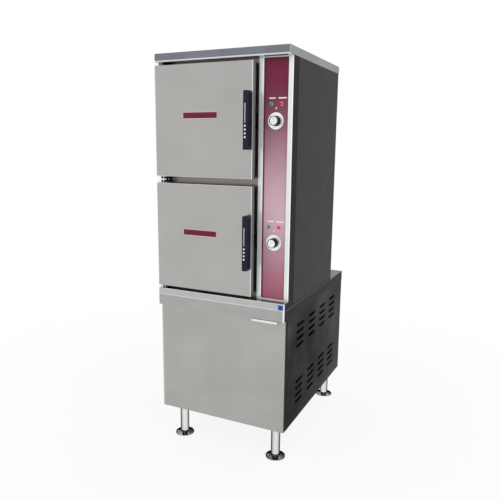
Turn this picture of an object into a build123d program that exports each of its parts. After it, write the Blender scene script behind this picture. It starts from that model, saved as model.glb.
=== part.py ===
from build123d import *
import math
import os

# Two-compartment convection steamer on a cabinet base, in millimetres, +Z up.
# x runs from the left side to the right side. y runs from the doors' front face to the back.
# Every shape is built with y = 0 on the doors' front face, and write() then moves it,
# so that the origin lies on the floor under the middle of the whole machine.

# Overall sizes
WIDTH = 610.0
UPPER_DEPTH = 632.0
BASE_DEPTH = 841.0
LEG_HEIGHT = 162.0
CABINET_HEIGHT = 502.0
DECK_HEIGHT = 47.5
VENT = (60.0, 6.0)
VENT_PITCH = 90.0
VENT_INSET = 40.0
LEDGE_HEIGHT = 29.5
COVER_HEIGHT = 32.0
COVER_OVERHANG = 7.0
COVER_LIP = 15.0
SHEET = 1.5
HEAVY_SHEET = 2.0
SIDE_INSET = 0.5

# Cooking doors
DOOR_HEIGHT = 458.0
DOOR_DEPTH = 30.0
DOOR_BOTTOM_GAP = 13.0
DOOR_MIDDLE_GAP = 28.5
DOOR_TOP_GAP = 15.5
DOOR_BOSS_DEPTH = 9.0
DOOR_BOSS_MARGIN = 22.0
DOOR_EDGE_RADIUS = 1.4
GASKET_WIDTH = 20.0
GASKET_SETBACK = 4.0
GASKET_AIR = 0.3
SEAT_AIR = 0.5

# Front of the upper body
COLUMN_SETBACK = 40.0
COLUMN_WIDTH = 143.5
FRAME_SETBACK = 52.0
COLUMN_GAP = 9.0
CORNER_RETURN = 60.0
STRIP_WIDTH = 20.0
PANEL_FOOT = 5.0
PANEL_RECESS = 5.0
PANEL_FLANGE = 12.0
PANEL_AIR = 0.2

# Cooking compartments
ROOM_MARGIN = 53.5
ROOM_HEIGHT = 365.0
ROOM_REAR_SPACE = 38.0
ROOM_RADIUS = 14.0
ROOM_FLANGE = 20.0
INSULATION = 25.0
GUIDE_WIRE = 6.0
GUIDE_WELD = 0.5
GUIDE_LEVELS = 5
GUIDE_PITCH = 66.0
GUIDE_START = 25.0
GUIDE_END_MARGIN = 35.0

# Door hinges
PIVOT_INSET = 17.0
PIVOT_DEPTH = 15.0
PIN_RADIUS = 4.0
PIN_LENGTH = 26.0
RUNNING_AIR = 0.05
ARM_WIDTH = 41.0
ARM_THICK = 8.0
ARM_DOOR_AIR = 3.5
HINGE_FLANGE = 4.0
HINGE_BLOCK = (30.0, 25.0, 28.0)

# Handle and latch
GRIP_WIDTH = 21.5
GRIP_DEPTH = 43.0
GRIP_HEIGHT = 225.0
GRIP_AIR = 3.0
GRIP_EDGE_INSET = 0.5
GRIP_FACE = 10.0
GRIP_WEB = 12.5
GRIP_END = 15.0
GRIP_RADIUS = 2.5
LEVER_WIDTH = 6.0
LEVER_HEIGHT = 40.0
LEVER_INSET = 8.0
LEVER_DEPTH = 9.0
LEVER_BITE = 20.0
LEVER_NOSE_AIR = 6.0
NOSE_HEIGHT = 36.0
LATCH_EAR = 6.0
LATCH_EAR_REACH = 10.0
LATCH_SLOT_AIR = 0.6
LATCH_TURN = 12.0
ROLLER_RADIUS = 4.0
ROLLER_AIR = 1.5
STRIKE_WIDTH = 11.0
STRIKE_EAR = 4.0
STRIKE_PLATE = 3.0
STRIKE_LUG = 4.0
NOSE_AIR = 4.0

# Controls, the same set for each compartment
DIAL_RADIUS = 33.0
DIAL_THICK = 2.0
DIAL_AIR = 1.0
KNOB_RADIUS = 20.0
KNOB_LENGTH = 26.0
CAP_RADIUS = 17.2
CAP_THICK = 1.2
SHAFT_RADIUS = 3.0
TIMER_WIDTH = 58.0
TIMER_DEPTH = 45.0
TIMER_BUSH_RADIUS = 5.0
LAMP_SPREAD = 43.5
LAMP_RISE = 65.0
LAMP_RADIUS = 8.5
LAMP_LENS_RADIUS = 6.3
LAMP_STAND = 3.0
LAMP_LENS_STAND = 4.0
LAMP_BARREL = 6.9
LAMP_DEPTH = 32.0

# Base cabinet
BASE_DOOR_RECESS = 18.6
BASE_DOOR_DEPTH = 20.0
BASE_DOOR_BOTTOM_GAP = 2.0
BASE_DOOR_TOP_GAP = 1.5
BASE_DOOR_LIP = 12.0
BASE_SIDE_START = 42.0
BASE_SIDE_INSET = 1.0
BASE_PIVOT_INSET = 12.0
BASE_PIVOT_DEPTH = 10.0
BASE_PIN_RADIUS = 3.0
BASE_PIN_LENGTH = 14.0
BASE_TAB = 4.0
PULL_LENGTH = 114.0
PULL_HEIGHT = 14.5
PULL_RIGHT_INSET = 33.0
PULL_ROOT = 12.0
PULL_THICK = 1.5
CATCH_SIZE = (30.0, 12.0, 16.0)
CATCH_AIR = 0.4
LOUVRE_LENGTH = 80.0
LOUVRE_PITCH = 157.5
LOUVRE_START = 160.0
LOUVRE_COLUMNS = 4
LOUVRE_ROWS = 4
LOUVRE_ROW_PITCH = 32.0
LOUVRE_GROUP_HEIGHTS = (87.0, 351.0)
LOUVRE_HEIGHT = 9.0
LOUVRE_STAND = 4.0

# Base frame, legs and feet
RAIL = 36.0
RAIL_WALL = 2.5
RAIL_START = 47.0
RAIL_SIDE_AIR = 1.0
LEG_PLATE = 4.0
LEG_PLATE_SIZE = 112.0
POST = 25.0
POST_WALL = 3.0
LEG_SIDE_INSET = 66.5
LEG_FRONT_Y = 97.0
LEG_REAR_INSET = 36.0
LEG_RADIUS = 20.65
LEG_WALL = 1.75
FOOT_RADIUS = 44.0
FOOT_RIM = 3.0
FOOT_CONE = 9.0
FOOT_HUB = 22.0
FOOT_NECK = 14.0
FOOT_STEM = 56.0
FOOT_BOLT_RADIUS = 4.5
FOOT_BOLT_CIRCLE = 33.0
FOOT_BOLTS = 3

# Boiler and its fittings
BOILER_X = -40.0
BOILER_Z = 430.0
BOILER_RADIUS = 150.0
BOILER_WALL = 3.0
BOILER_FRONT = 300.0
BOILER_REAR_SPACE = 81.0
BOILER_END = 5.0
NOZZLE_HEIGHT = 22.0
SADDLE_SETBACK = 80.0
SADDLE_THICK = 4.0
SADDLE_WIDTH = 180.0
SADDLE_RISE = 60.0
ELEMENT_FLANGE_RADIUS = 100.0
ELEMENT_FLANGE = 12.0
ELEMENT_HOLE = 80.0
ELEMENT_RADIUS = 4.5
ELEMENT_END_SPACE = 80.0
ELEMENT_SPREAD = 22.0
ELEMENT_ROW = 36.0
TERMINAL_RADIUS = 3.0
TERMINAL_LENGTH = 18.0
SAFETY_SETBACK = 100.0
SAFETY_RADIUS = 15.0
SAFETY_HEIGHT = 52.0
SAFETY_LEVER = (46.0, 12.0, 3.0)
SAFETY_KNUCKLE = 3.5
SAFETY_PIN = 1.5
SAFETY_EAR = 2.5
STEAM_PIPE_RADIUS = 13.35
PIPE_WALL = 2.5
STEAM_OUT_SPACE = 34.0
STEAM_TURN_Z = 640.0
STEAM_BEND = 32.0
RISER_INSET = 54.5
BRANCH_RADIUS = 10.7
STEAM_VALVE_LENGTH = 52.0
STEAM_VALVE_BODY = 18.0
STEAM_COIL = (36.0, 42.0, 48.0)
STEAM_COIL_SEAT = 3.0
NOZZLE_REACH = 10.0
PIPE_HOLE_AIR = 1.5

# Drain
DRAIN_INSET = 104.5
DRAIN_SPACE = 114.0
DRAIN_Z = 234.0
DRAIN_RADIUS = 24.15
DRAIN_WALL = 3.0
DRAIN_STUB = 30.0
DRAIN_COUPLING = (27.5, 40.0)
DRAIN_HEAD = 22.0
DRAIN_START = 20.0
BLOWDOWN_SETBACK = 45.0
BLOWDOWN_NOZZLE = 4.0
BLOWDOWN_BODY = 20.0
BLOWDOWN_BODY_LENGTH = 46.0
BLOWDOWN_X = 30.0
BLOWDOWN_STEM = 5.0
BLOWDOWN_LEVER = (14.0, 4.0, 66.0)
BLOWDOWN_LEVER_AIR = 14.0

# Water, power and controls in the base
FILL_XS = (-230.0, -150.0)
FILL_Z = 380.0
FILL_THREAD = 13.2
FILL_BORE = 9.0
FILL_STUB = 22.0
FILL_NECK = 16.0
FILL_BODY = (34.0, 38.0, 34.0)
FILL_COIL_HEIGHT = 34.0
WATER_PIPE_RADIUS = 6.35
WATER_PIPE_WALL = 1.0
WATER_BEND = 14.0
BOX_WIDTH = 152.5
BOX_FRONT = 76.0
BOX_DEPTH = 174.0
BOX_BOTTOM = 250.0
BOX_HEIGHT = 350.0
BOX_SHEET = 1.2
CONTACTOR = (45.0, 70.0, 85.0)
SWITCH = (28.0, 21.0)
SWITCH_Z = 520.0
SWITCH_TILT = 12.0
SWITCH_AIR = 0.6
CONTACTOR_PITCH = 58.0
GLAND_X = 120.0
GLAND_Z = 560.0
GLAND_RADIUS = 19.0
GLAND_BORE = 11.0
GLAND_LENGTH = 34.0
GLAND_STAND = 22.0

# Heights and widths that follow from the sizes above
HALF = WIDTH / 2
DECK_BOTTOM = LEG_HEIGHT + CABINET_HEIGHT
DECK_TOP = DECK_BOTTOM + DECK_HEIGHT
LEDGE_TOP = DECK_TOP + LEDGE_HEIGHT
LOWER_DOOR_Z = LEDGE_TOP + DOOR_BOTTOM_GAP
UPPER_DOOR_Z = LOWER_DOOR_Z + DOOR_HEIGHT + DOOR_MIDDLE_GAP
COVER_BOTTOM = UPPER_DOOR_Z + DOOR_HEIGHT + DOOR_TOP_GAP
HEIGHT = COVER_BOTTOM + COVER_HEIGHT
SIDE = HALF - SIDE_INSET
COLUMN_LEFT = SIDE - COLUMN_WIDTH
DOOR_LEFT = -HALF
DOOR_RIGHT = COLUMN_LEFT - COLUMN_GAP
DOOR_WIDTH = DOOR_RIGHT - DOOR_LEFT
DOOR_MIDDLE = (DOOR_LEFT + DOOR_RIGHT) / 2
SIDE_INNER = SIDE - SHEET
CORNER_END = COLUMN_SETBACK + CORNER_RETURN
WINDOW = (COLUMN_LEFT + STRIP_WIDTH, SIDE - STRIP_WIDTH)
WINDOW_Z = (LEDGE_TOP + PANEL_FOOT, COVER_BOTTOM - PANEL_FOOT)
CONTROL_X = (WINDOW[0] + WINDOW[1]) / 2
PANEL_FRONT = COLUMN_SETBACK + SHEET + PANEL_RECESS
PIVOT_X = DOOR_LEFT + PIVOT_INSET
BASE_SIDE = HALF - BASE_SIDE_INSET
BASE_SIDE_INNER = BASE_SIDE - SHEET
BASE_PIVOT_X = -BASE_SIDE + BASE_PIVOT_INSET
BASE_PIVOT_Y = BASE_DOOR_RECESS + BASE_PIVOT_DEPTH
BASE_DOOR_BACK = BASE_DOOR_RECESS + BASE_DOOR_DEPTH
BASE_DOOR_BOTTOM = LEG_HEIGHT + BASE_DOOR_BOTTOM_GAP
BASE_DOOR_TOP = DECK_BOTTOM - BASE_DOOR_TOP_GAP
RAIL_BOTTOM = LEG_HEIGHT + LEG_PLATE
FLOOR_Z = RAIL_BOTTOM + RAIL
RAIL_X = BASE_SIDE_INNER - RAIL_SIDE_AIR
RAIL_END = BASE_DEPTH - SHEET - RAIL_SIDE_AIR
DOOR_MIDDLES = (LOWER_DOOR_Z + DOOR_HEIGHT / 2, UPPER_DOOR_Z + DOOR_HEIGHT / 2)
ROOM_WIDTH = DOOR_WIDTH - 2 * ROOM_MARGIN
ROOM_DEPTH = UPPER_DEPTH - ROOM_REAR_SPACE - FRAME_SETBACK - HEAVY_SHEET
ROOM_BACK = FRAME_SETBACK + HEAVY_SHEET + ROOM_DEPTH
ROOM_RIGHT = DOOR_MIDDLE + ROOM_WIDTH / 2
LEVER_X = DOOR_RIGHT - LEVER_INSET
LEG_X = HALF - LEG_SIDE_INSET
LEG_REAR_Y = BASE_DEPTH - LEG_REAR_INSET
BOILER_TOP = BOILER_Z + BOILER_RADIUS
BOILER_BACK = BASE_DEPTH - BOILER_REAR_SPACE
ELEMENT_END = BOILER_BACK - ELEMENT_END_SPACE
SAFETY_Y = BOILER_FRONT + SAFETY_SETBACK
BLOWDOWN_Y = BOILER_FRONT + BLOWDOWN_SETBACK
DRAIN_FRONT_Y = BOILER_FRONT + DRAIN_START
STEAM_OUT_Y = ROOM_BACK - STEAM_OUT_SPACE
RISER_X = SIDE - RISER_INSET
DRAIN_X = SIDE - DRAIN_INSET
DRAIN_Y = ROOM_BACK - DRAIN_SPACE
BOX_LEFT = BASE_SIDE_INNER - BOX_WIDTH
MIDDLE_DEPTH = (BASE_DEPTH + DRAIN_STUB - GRIP_DEPTH) / 2


def block(xs, ys, zs):
    """A box between two values on each axis."""
    middle = [(low + high) / 2 for low, high in (xs, ys, zs)]
    sizes = [abs(high - low) for low, high in (xs, ys, zs)]
    return Pos(*middle) * Box(*sizes)


def rod(radius, start, end):
    """A round bar from one point to another."""
    run = Vector(*end) - Vector(*start)
    plane = Plane(origin=start, z_dir=run)
    return plane * Cylinder(radius, run.length, align=(Align.CENTER, Align.CENTER, Align.MIN))


def tube(radius, wall, start, end):
    """A round tube from one point to another."""
    return rod(radius, start, end) - rod(radius - wall, start, end)


def bent_tube(radius, wall, points, bend):
    """A round tube along straight runs that are joined by tangent arcs."""
    path = FilletPolyline(*points, radius=bend)
    plane = Plane(origin=path @ 0, z_dir=path % 0)
    return sweep(plane * (Circle(radius) - Circle(radius - wall)), path=path)


def pan(xs, ys, zs, sheet, opening):
    """A folded sheet pan. Its one open side is named by opening: back or bottom."""
    inner = [(low + sheet, high - sheet) for low, high in (xs, ys, zs)]
    if opening == "back":
        inner[1] = (ys[0] + sheet, ys[1] + sheet)
    else:
        inner[2] = (zs[0] - sheet, zs[1] - sheet)
    return block(xs, ys, zs) - block(*inner)


def write(name, *solids):
    """Move the pieces of a node to the machine's own origin and write them to one file."""
    moved = [Pos(0, -MIDDLE_DEPTH, 0) * solid for piece in solids for solid in piece.solids()]
    shape = moved[0] if len(moved) == 1 else Compound(children=moved)
    shape.label = name
    export_step(shape, os.path.join("parts", name + ".step"))


# Upper body

def top_cover():
    """Folded cover whose skirt turns inwards and rests on the body's top edges."""
    depth = UPPER_DEPTH + COVER_OVERHANG
    zs = (COVER_BOTTOM, HEIGHT)
    shell = pan((-HALF, HALF), (0, depth), zs, SHEET, "bottom")
    lip = block((-HALF, HALF), (0, depth), (COVER_BOTTOM, COVER_BOTTOM + SHEET))
    hole = block((-HALF + COVER_LIP, HALF - COVER_LIP), (COVER_LIP, depth - COVER_LIP), zs)
    shell += lip - hole
    corners = shell.edges().filter_by(Axis.Z)
    outer = [edge for edge in corners if abs(abs(edge.center().X) - HALF) < SHEET / 2]
    return fillet(outer, DOOR_EDGE_RADIUS)


def compartment_front():
    """Frame plate behind the doors, with an opening for each compartment."""
    ys = (FRAME_SETBACK, FRAME_SETBACK + HEAVY_SHEET)
    right = COLUMN_LEFT + STRIP_WIDTH
    plate = block((-SIDE, right), ys, (LEDGE_TOP, COVER_BOTTOM))
    plate += block((-SIDE, -SIDE_INNER), (ys[0], CORNER_END), (LEDGE_TOP, COVER_BOTTOM))
    for middle in DOOR_MIDDLES:
        outline = Pos(DOOR_MIDDLE, middle) * RectangleRounded(ROOM_WIDTH, ROOM_HEIGHT, ROOM_RADIUS)
        cut = extrude(Plane.XZ * outline, amount=-2 * FRAME_SETBACK)
        plate -= cut
    return plate


def column_frame():
    """Fascia frame round the control panel, with its side returns."""
    front = COLUMN_SETBACK
    zs = (LEDGE_TOP, COVER_BOTTOM)
    frame = block((COLUMN_LEFT, SIDE), (front, front + SHEET), zs)
    frame -= block(WINDOW, (front - SHEET, front + 2 * SHEET), WINDOW_Z)
    frame += block((COLUMN_LEFT, COLUMN_LEFT + SHEET), (front, FRAME_SETBACK), zs)
    frame += block((SIDE_INNER, SIDE), (front, CORNER_END), zs)
    return frame


def control_panel():
    """Recessed burgundy tray behind the window, with sloped sides and holes for the controls."""
    back = COLUMN_SETBACK + SHEET
    left, right = WINDOW[0] + PANEL_AIR, WINDOW[1] - PANEL_AIR
    slope = PANEL_RECESS
    bend = SHEET * (math.sqrt(2) - 1)
    outline = [
        (WINDOW[0] - PANEL_FLANGE, back),
        (left, back),
        (left + slope, back + slope),
        (right - slope, back + slope),
        (right, back),
        (WINDOW[1] + PANEL_FLANGE, back),
        (WINDOW[1] + PANEL_FLANGE, back + SHEET),
        (right + bend, back + SHEET),
        (right - slope + bend, back + slope + SHEET),
        (left + slope - bend, back + slope + SHEET),
        (left - bend, back + SHEET),
        (WINDOW[0] - PANEL_FLANGE, back + SHEET),
    ]
    face = make_face(Polyline(*outline, close=True))
    tray = extrude(face, amount=COVER_BOTTOM - LEDGE_TOP)
    tray = Pos(0, 0, LEDGE_TOP) * tray
    through = (back, back + slope + 2 * SHEET)
    for middle in DOOR_MIDDLES:
        bush = TIMER_BUSH_RADIUS + RUNNING_AIR
        tray -= rod(bush, (CONTROL_X, through[0], middle), (CONTROL_X, through[1], middle))
        for x in lamp_places():
            z = middle + LAMP_RISE
            tray -= rod(LAMP_BARREL + RUNNING_AIR, (x, through[0], z), (x, through[1], z))
    return tray


def lamp_places():
    """The x of the left and right lamp."""
    return (CONTROL_X - LAMP_SPREAD / 2, CONTROL_X + LAMP_SPREAD / 2)


def side_panel(side):
    """Flat body side with flanges turned in at its top and bottom."""
    xs = sorted((side * SIDE, side * SIDE_INNER))
    flange = sorted((side * SIDE, side * (SIDE_INNER - STRIP_WIDTH)))
    ys = (CORNER_END, UPPER_DEPTH - SHEET)
    panel = block(xs, ys, (DECK_TOP, COVER_BOTTOM))
    panel += block(flange, ys, (DECK_TOP, DECK_TOP + SHEET))
    panel += block(flange, ys, (COVER_BOTTOM - SHEET, COVER_BOTTOM))
    return panel


def rear_panel():
    """Back of the upper body, with two rows of air slots."""
    ys = (UPPER_DEPTH - SHEET, UPPER_DEPTH)
    panel = block((-SIDE, SIDE), ys, (DECK_TOP, COVER_BOTTOM))
    for z in (DECK_TOP + VENT_INSET, COVER_BOTTOM - VENT_INSET):
        for step in range(-2, 3):
            outline = Pos(step * VENT_PITCH, z) * SlotOverall(*VENT)
            panel -= Pos(0, UPPER_DEPTH + SHEET, 0) * extrude(Plane.XZ * outline, amount=3 * SHEET)
    return panel


def front_ledge():
    """Folded rail across the front under the doors. The frame plate and the column stand on it."""
    return pan((-HALF, HALF), (0, CORNER_END), (DECK_TOP, LEDGE_TOP), HEAVY_SHEET, "bottom")


def compartment(middle):
    """Steel cooking chamber, open at the front, with a flange, a drain hole and a steam hole."""
    front = FRAME_SETBACK + HEAVY_SHEET
    wall = 2 * SHEET
    place = Pos(DOOR_MIDDLE, middle)
    inner = place * RectangleRounded(ROOM_WIDTH, ROOM_HEIGHT, ROOM_RADIUS)
    outer = place * RectangleRounded(ROOM_WIDTH + wall, ROOM_HEIGHT + wall, ROOM_RADIUS + SHEET)
    rim = place * RectangleRounded(
        ROOM_WIDTH + 2 * ROOM_FLANGE, ROOM_HEIGHT + 2 * ROOM_FLANGE, ROOM_RADIUS
    )
    chamber = Pos(0, front, 0) * extrude(Plane.XZ * outer, amount=-(ROOM_DEPTH + SHEET))
    chamber += Pos(0, front, 0) * extrude(Plane.XZ * rim, amount=-SHEET)
    chamber -= Pos(0, front, 0) * extrude(Plane.XZ * inner, amount=-ROOM_DEPTH)
    reach = (ROOM_RIGHT - 2 * SHEET, ROOM_RIGHT + 2 * SHEET)
    steam = BRANCH_RADIUS + RUNNING_AIR
    chamber -= rod(steam, (reach[0], STEAM_OUT_Y, middle), (reach[1], STEAM_OUT_Y, middle))
    drain = DRAIN_HEAD / 2 + RUNNING_AIR
    z = drain_height(middle)
    chamber -= rod(drain, (reach[0], DRAIN_Y, z), (reach[1], DRAIN_Y, z))
    return chamber


def drain_height(middle):
    """The z of a compartment's drain, just above its floor."""
    return middle - ROOM_HEIGHT / 2 + DRAIN_HEAD


def insulation(middle):
    """Blanket round a compartment's walls and back."""
    front = FRAME_SETBACK + HEAVY_SHEET + SHEET
    grow = SHEET + SEAT_AIR
    place = Pos(DOOR_MIDDLE, middle)
    inside = place * Rectangle(ROOM_WIDTH + 2 * grow, ROOM_HEIGHT + 2 * grow)
    cover = 2 * (grow + INSULATION)
    outside = place * Rectangle(ROOM_WIDTH + cover, ROOM_HEIGHT + cover)
    inside_depth = ROOM_DEPTH + SEAT_AIR
    blanket = Pos(0, front, 0) * extrude(Plane.XZ * outside, amount=-(inside_depth + INSULATION))
    blanket -= Pos(0, front, 0) * extrude(Plane.XZ * inside, amount=-inside_depth)
    return blanket - pipe_passages(middle)


def pipe_passages(middle):
    """Clearance holes to the right of a compartment for its steam pipe and its drain pipe."""
    end = ROOM_RIGHT + 2 * INSULATION
    steam = rod(BRANCH_RADIUS + PIPE_HOLE_AIR, (ROOM_RIGHT, STEAM_OUT_Y, middle), (end, STEAM_OUT_Y, middle))
    z = drain_height(middle)
    drain = rod(DRAIN_HEAD / 2 + PIPE_HOLE_AIR, (ROOM_RIGHT, DRAIN_Y, z), (end, DRAIN_Y, z))
    return steam + drain


def compartment_shelves():
    """Welded rack inside the body: a wall beside the compartments and a shelf under each."""
    wall_x = ROOM_RIGHT + SHEET + SEAT_AIR + INSULATION
    back = UPPER_DEPTH - SHEET
    rack = block((wall_x, wall_x + SHEET), (CORNER_END, back), (DECK_TOP, COVER_BOTTOM))
    drop = ROOM_HEIGHT / 2 + SHEET + SEAT_AIR + INSULATION
    for middle in DOOR_MIDDLES:
        top = middle - drop
        rack += block((-SIDE_INNER, wall_x), (FRAME_SETBACK + HEAVY_SHEET, back), (top - SHEET, top))
        rack -= pipe_passages(middle)
    return rack


def pan_guide(middle, side):
    """Wires on one wall of a compartment: three pegged uprights, and a level wire under each pan."""
    radius = GUIDE_WIRE / 2
    wall = DOOR_MIDDLE + side * ROOM_WIDTH / 2
    upright_x = wall - side * (GUIDE_WIRE + radius)
    level_x = upright_x - side * (GUIDE_WIRE - GUIDE_WELD)
    floor = middle - ROOM_HEIGHT / 2
    ys = (FRAME_SETBACK + GUIDE_END_MARGIN, ROOM_BACK - GUIDE_END_MARGIN)
    low = floor + GUIDE_START / 2
    high = floor + GUIDE_START + GUIDE_PITCH * (GUIDE_LEVELS - 1) + GUIDE_START / 2
    uprights = []
    for y in (ys[0] + GUIDE_END_MARGIN, (ys[0] + ys[1]) / 2, ys[1] - GUIDE_END_MARGIN):
        upright = rod(radius, (upright_x, y, low), (upright_x, y, high))
        for z in (low + GUIDE_WIRE, high - GUIDE_WIRE):
            upright += rod(radius, (wall, y, z), (upright_x, y, z))
        uprights.append(upright)
    levels = []
    for level in range(GUIDE_LEVELS):
        z = floor + GUIDE_START + level * GUIDE_PITCH
        levels.append(rod(radius, (level_x, ys[0], z), (level_x, ys[1], z)) - uprights)
    return uprights + levels


def hinge_arm(z, pin_to):
    """Hinge arm that stands forward of the frame plate, with a pin up or down into the door."""
    low, high = z
    arm = block(
        (-SIDE + SHEET, -SIDE + SHEET + ARM_WIDTH),
        (PIVOT_DEPTH - ARM_THICK, FRAME_SETBACK),
        (low, high),
    )
    start = high - ARM_THICK / 2 if pin_to > high else low + ARM_THICK / 2
    pin = rod(PIN_RADIUS, (PIVOT_X, PIVOT_DEPTH, start), (PIVOT_X, PIVOT_DEPTH, pin_to))
    return arm + pin


def hinge_brackets():
    """Three brackets with four pins: top, middle with two arms, and bottom."""
    brackets = []
    top = UPPER_DOOR_Z + DOOR_HEIGHT
    low_top = LOWER_DOOR_Z + DOOR_HEIGHT
    xs = (-SIDE + SHEET, -SIDE + SHEET + ARM_WIDTH)
    ys = (FRAME_SETBACK - HINGE_FLANGE, FRAME_SETBACK)
    arm = hinge_arm((top + ARM_DOOR_AIR, top + ARM_DOOR_AIR + ARM_THICK), top - PIN_LENGTH)
    brackets.append(arm + block(xs, ys, (top + 1, COVER_BOTTOM - 1)))
    under = UPPER_DOOR_Z - ARM_DOOR_AIR
    upper = hinge_arm((under - ARM_THICK, under), UPPER_DOOR_Z + PIN_LENGTH)
    over = low_top + ARM_DOOR_AIR
    lower = hinge_arm((over, over + ARM_THICK), low_top - PIN_LENGTH)
    brackets.append(upper + lower + block(xs, ys, (low_top + 1, UPPER_DOOR_Z - 1)))
    foot = LOWER_DOOR_Z - ARM_DOOR_AIR
    bottom = hinge_arm((foot - ARM_THICK, foot), LOWER_DOOR_Z + PIN_LENGTH)
    brackets.append(bottom + block(xs, ys, (LEDGE_TOP, LOWER_DOOR_Z - 1)))
    return brackets


def latch_strike(middle):
    """Strike beside the door's right edge: a plate, two ears and an upright roller."""
    right = COLUMN_LEFT - PANEL_AIR
    xs = (right - STRIKE_WIDTH, right)
    inner = NOSE_HEIGHT / 2 + NOSE_AIR
    outer = inner + STRIKE_EAR
    half = outer + STRIKE_LUG
    strike = block(xs, (FRAME_SETBACK - STRIKE_PLATE, FRAME_SETBACK), (middle - half, middle + half))
    front = roller_y() - ROLLER_RADIUS
    for low, high in ((-outer, -inner), (inner, outer)):
        strike += block(xs, (front, FRAME_SETBACK), (middle + low, middle + high))
    x = roller_x()
    return strike + rod(ROLLER_RADIUS, (x, roller_y(), middle - inner), (x, roller_y(), middle + inner))


def roller_x():
    """The roller's x, in the middle of the strike's ears."""
    return COLUMN_LEFT - PANEL_AIR - STRIKE_WIDTH / 2


def roller_y():
    """The roller's y, between the door's back and the strike's plate."""
    return FRAME_SETBACK - STRIKE_PLATE - 2 * ROLLER_RADIUS


# Cooking doors

def door_skin(bottom):
    """Outer door pan, with holes for the hinge pins and a slot for the latch lever."""
    zs = (bottom, bottom + DOOR_HEIGHT)
    middle = bottom + DOOR_HEIGHT / 2
    skin = pan((DOOR_LEFT, DOOR_RIGHT), (0, DOOR_DEPTH), zs, SHEET, "back")
    front_edges = [edge for edge in skin.edges() if abs(edge.center().Y) < DOOR_EDGE_RADIUS / 4]
    skin = fillet(front_edges, DOOR_EDGE_RADIUS)
    hole = PIN_RADIUS + PIPE_HOLE_AIR
    skin -= rod(hole, (PIVOT_X, PIVOT_DEPTH, zs[0] - SHEET), (PIVOT_X, PIVOT_DEPTH, zs[1] + SHEET))
    half = LEVER_HEIGHT / 2 + SEAT_AIR
    swing = LEVER_DEPTH * math.tan(math.radians(LATCH_TURN))
    slot = (LEVER_X - LEVER_WIDTH / 2 - SEAT_AIR, LEVER_X + LEVER_WIDTH / 2 + swing + LATCH_SLOT_AIR)
    skin -= block(slot, (-SHEET, 2 * SHEET), (middle - half, middle + half))
    return skin


def door_inner_panel(bottom):
    """Inner door panel with its pressed centre, two hinge blocks and two latch ears."""
    middle = bottom + DOOR_HEIGHT / 2
    ys = (DOOR_DEPTH, DOOR_DEPTH + SHEET)
    zs = (bottom + SEAT_AIR, bottom + DOOR_HEIGHT - SEAT_AIR)
    panel = block((DOOR_LEFT + SEAT_AIR, DOOR_RIGHT - SEAT_AIR), ys, zs)
    half_x = ROOM_WIDTH / 2 - DOOR_BOSS_MARGIN
    half_z = ROOM_HEIGHT / 2 - DOOR_BOSS_MARGIN
    place = Pos(DOOR_MIDDLE, middle)
    boss = place * RectangleRounded(2 * half_x, 2 * half_z, ROOM_RADIUS)
    size = (2 * (half_x - SHEET), 2 * (half_z - SHEET))
    hollow = place * RectangleRounded(*size, ROOM_RADIUS - SHEET)
    depth = DOOR_BOSS_DEPTH + SHEET
    panel += Pos(0, DOOR_DEPTH, 0) * extrude(Plane.XZ * boss, amount=-depth)
    panel -= Pos(0, DOOR_DEPTH - SHEET, 0) * extrude(Plane.XZ * hollow, amount=-depth)
    width, depth, height = HINGE_BLOCK
    left = DOOR_LEFT + SHEET + SEAT_AIR
    inner = (bottom + SHEET + SEAT_AIR, bottom + DOOR_HEIGHT - SHEET - SEAT_AIR)
    for low, high in ((inner[0], inner[0] + height), (inner[1] - height, inner[1])):
        panel += block((left, left + width), (DOOR_DEPTH - depth, DOOR_DEPTH), (low, high))
    bore = PIN_RADIUS + RUNNING_AIR
    panel -= rod(bore, (PIVOT_X, PIVOT_DEPTH, bottom), (PIVOT_X, PIVOT_DEPTH, bottom + DOOR_HEIGHT))
    return panel + latch_ears(middle) - latch_slot(middle)


def latch_ears(middle):
    """Two ears on the inner panel that hold the lever's pin."""
    ears = Part()
    gap = LEVER_HEIGHT / 2 + LATCH_EAR_REACH
    xs = (LEVER_X - LATCH_EAR_REACH, DOOR_RIGHT - SHEET - SEAT_AIR)
    for low, high in ((-gap - LATCH_EAR, -gap), (gap, gap + LATCH_EAR)):
        ears += block(xs, (SHEET + SEAT_AIR, DOOR_DEPTH), (middle + low, middle + high))
    reach = gap + 2 * LATCH_EAR
    bore = PIN_RADIUS + RUNNING_AIR
    return ears - rod(bore, (LEVER_X, LEVER_DEPTH, middle - reach), (LEVER_X, LEVER_DEPTH, middle + reach))


def latch_slot(middle):
    """The slot in the inner panel that the lever's tail swings in."""
    swing = (DOOR_DEPTH + SHEET - LEVER_DEPTH) * math.tan(math.radians(LATCH_TURN))
    xs = (LEVER_X - LEVER_WIDTH / 2 - swing - LATCH_SLOT_AIR, LEVER_X + LEVER_WIDTH / 2 + SEAT_AIR)
    half = LEVER_HEIGHT / 2 + SEAT_AIR
    return block(xs, (DOOR_DEPTH - SHEET, DOOR_DEPTH + 2 * SHEET), (middle - half, middle + half))


def door_insulation(bottom):
    """Slab between the skins, cut out round the hinge blocks and the latch."""
    middle = bottom + DOOR_HEIGHT / 2
    gap = SHEET + SEAT_AIR
    xs = (DOOR_LEFT + gap, DOOR_RIGHT - gap)
    ys = (gap, DOOR_DEPTH - SEAT_AIR)
    slab = block(xs, ys, (bottom + gap, bottom + DOOR_HEIGHT - gap))
    width, _, height = HINGE_BLOCK
    top = bottom + DOOR_HEIGHT
    tall = height + 2 * gap
    for low, high in ((bottom, bottom + tall), (top - tall, top)):
        slab -= block((DOOR_LEFT, xs[0] + width + gap), (0, DOOR_DEPTH), (low, high))
    half = LEVER_HEIGHT / 2 + LATCH_EAR_REACH + 2 * LATCH_EAR
    left = LEVER_X - 2 * LATCH_EAR_REACH
    return slab - block((left, DOOR_RIGHT), (0, DOOR_DEPTH), (middle - half, middle + half))


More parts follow.
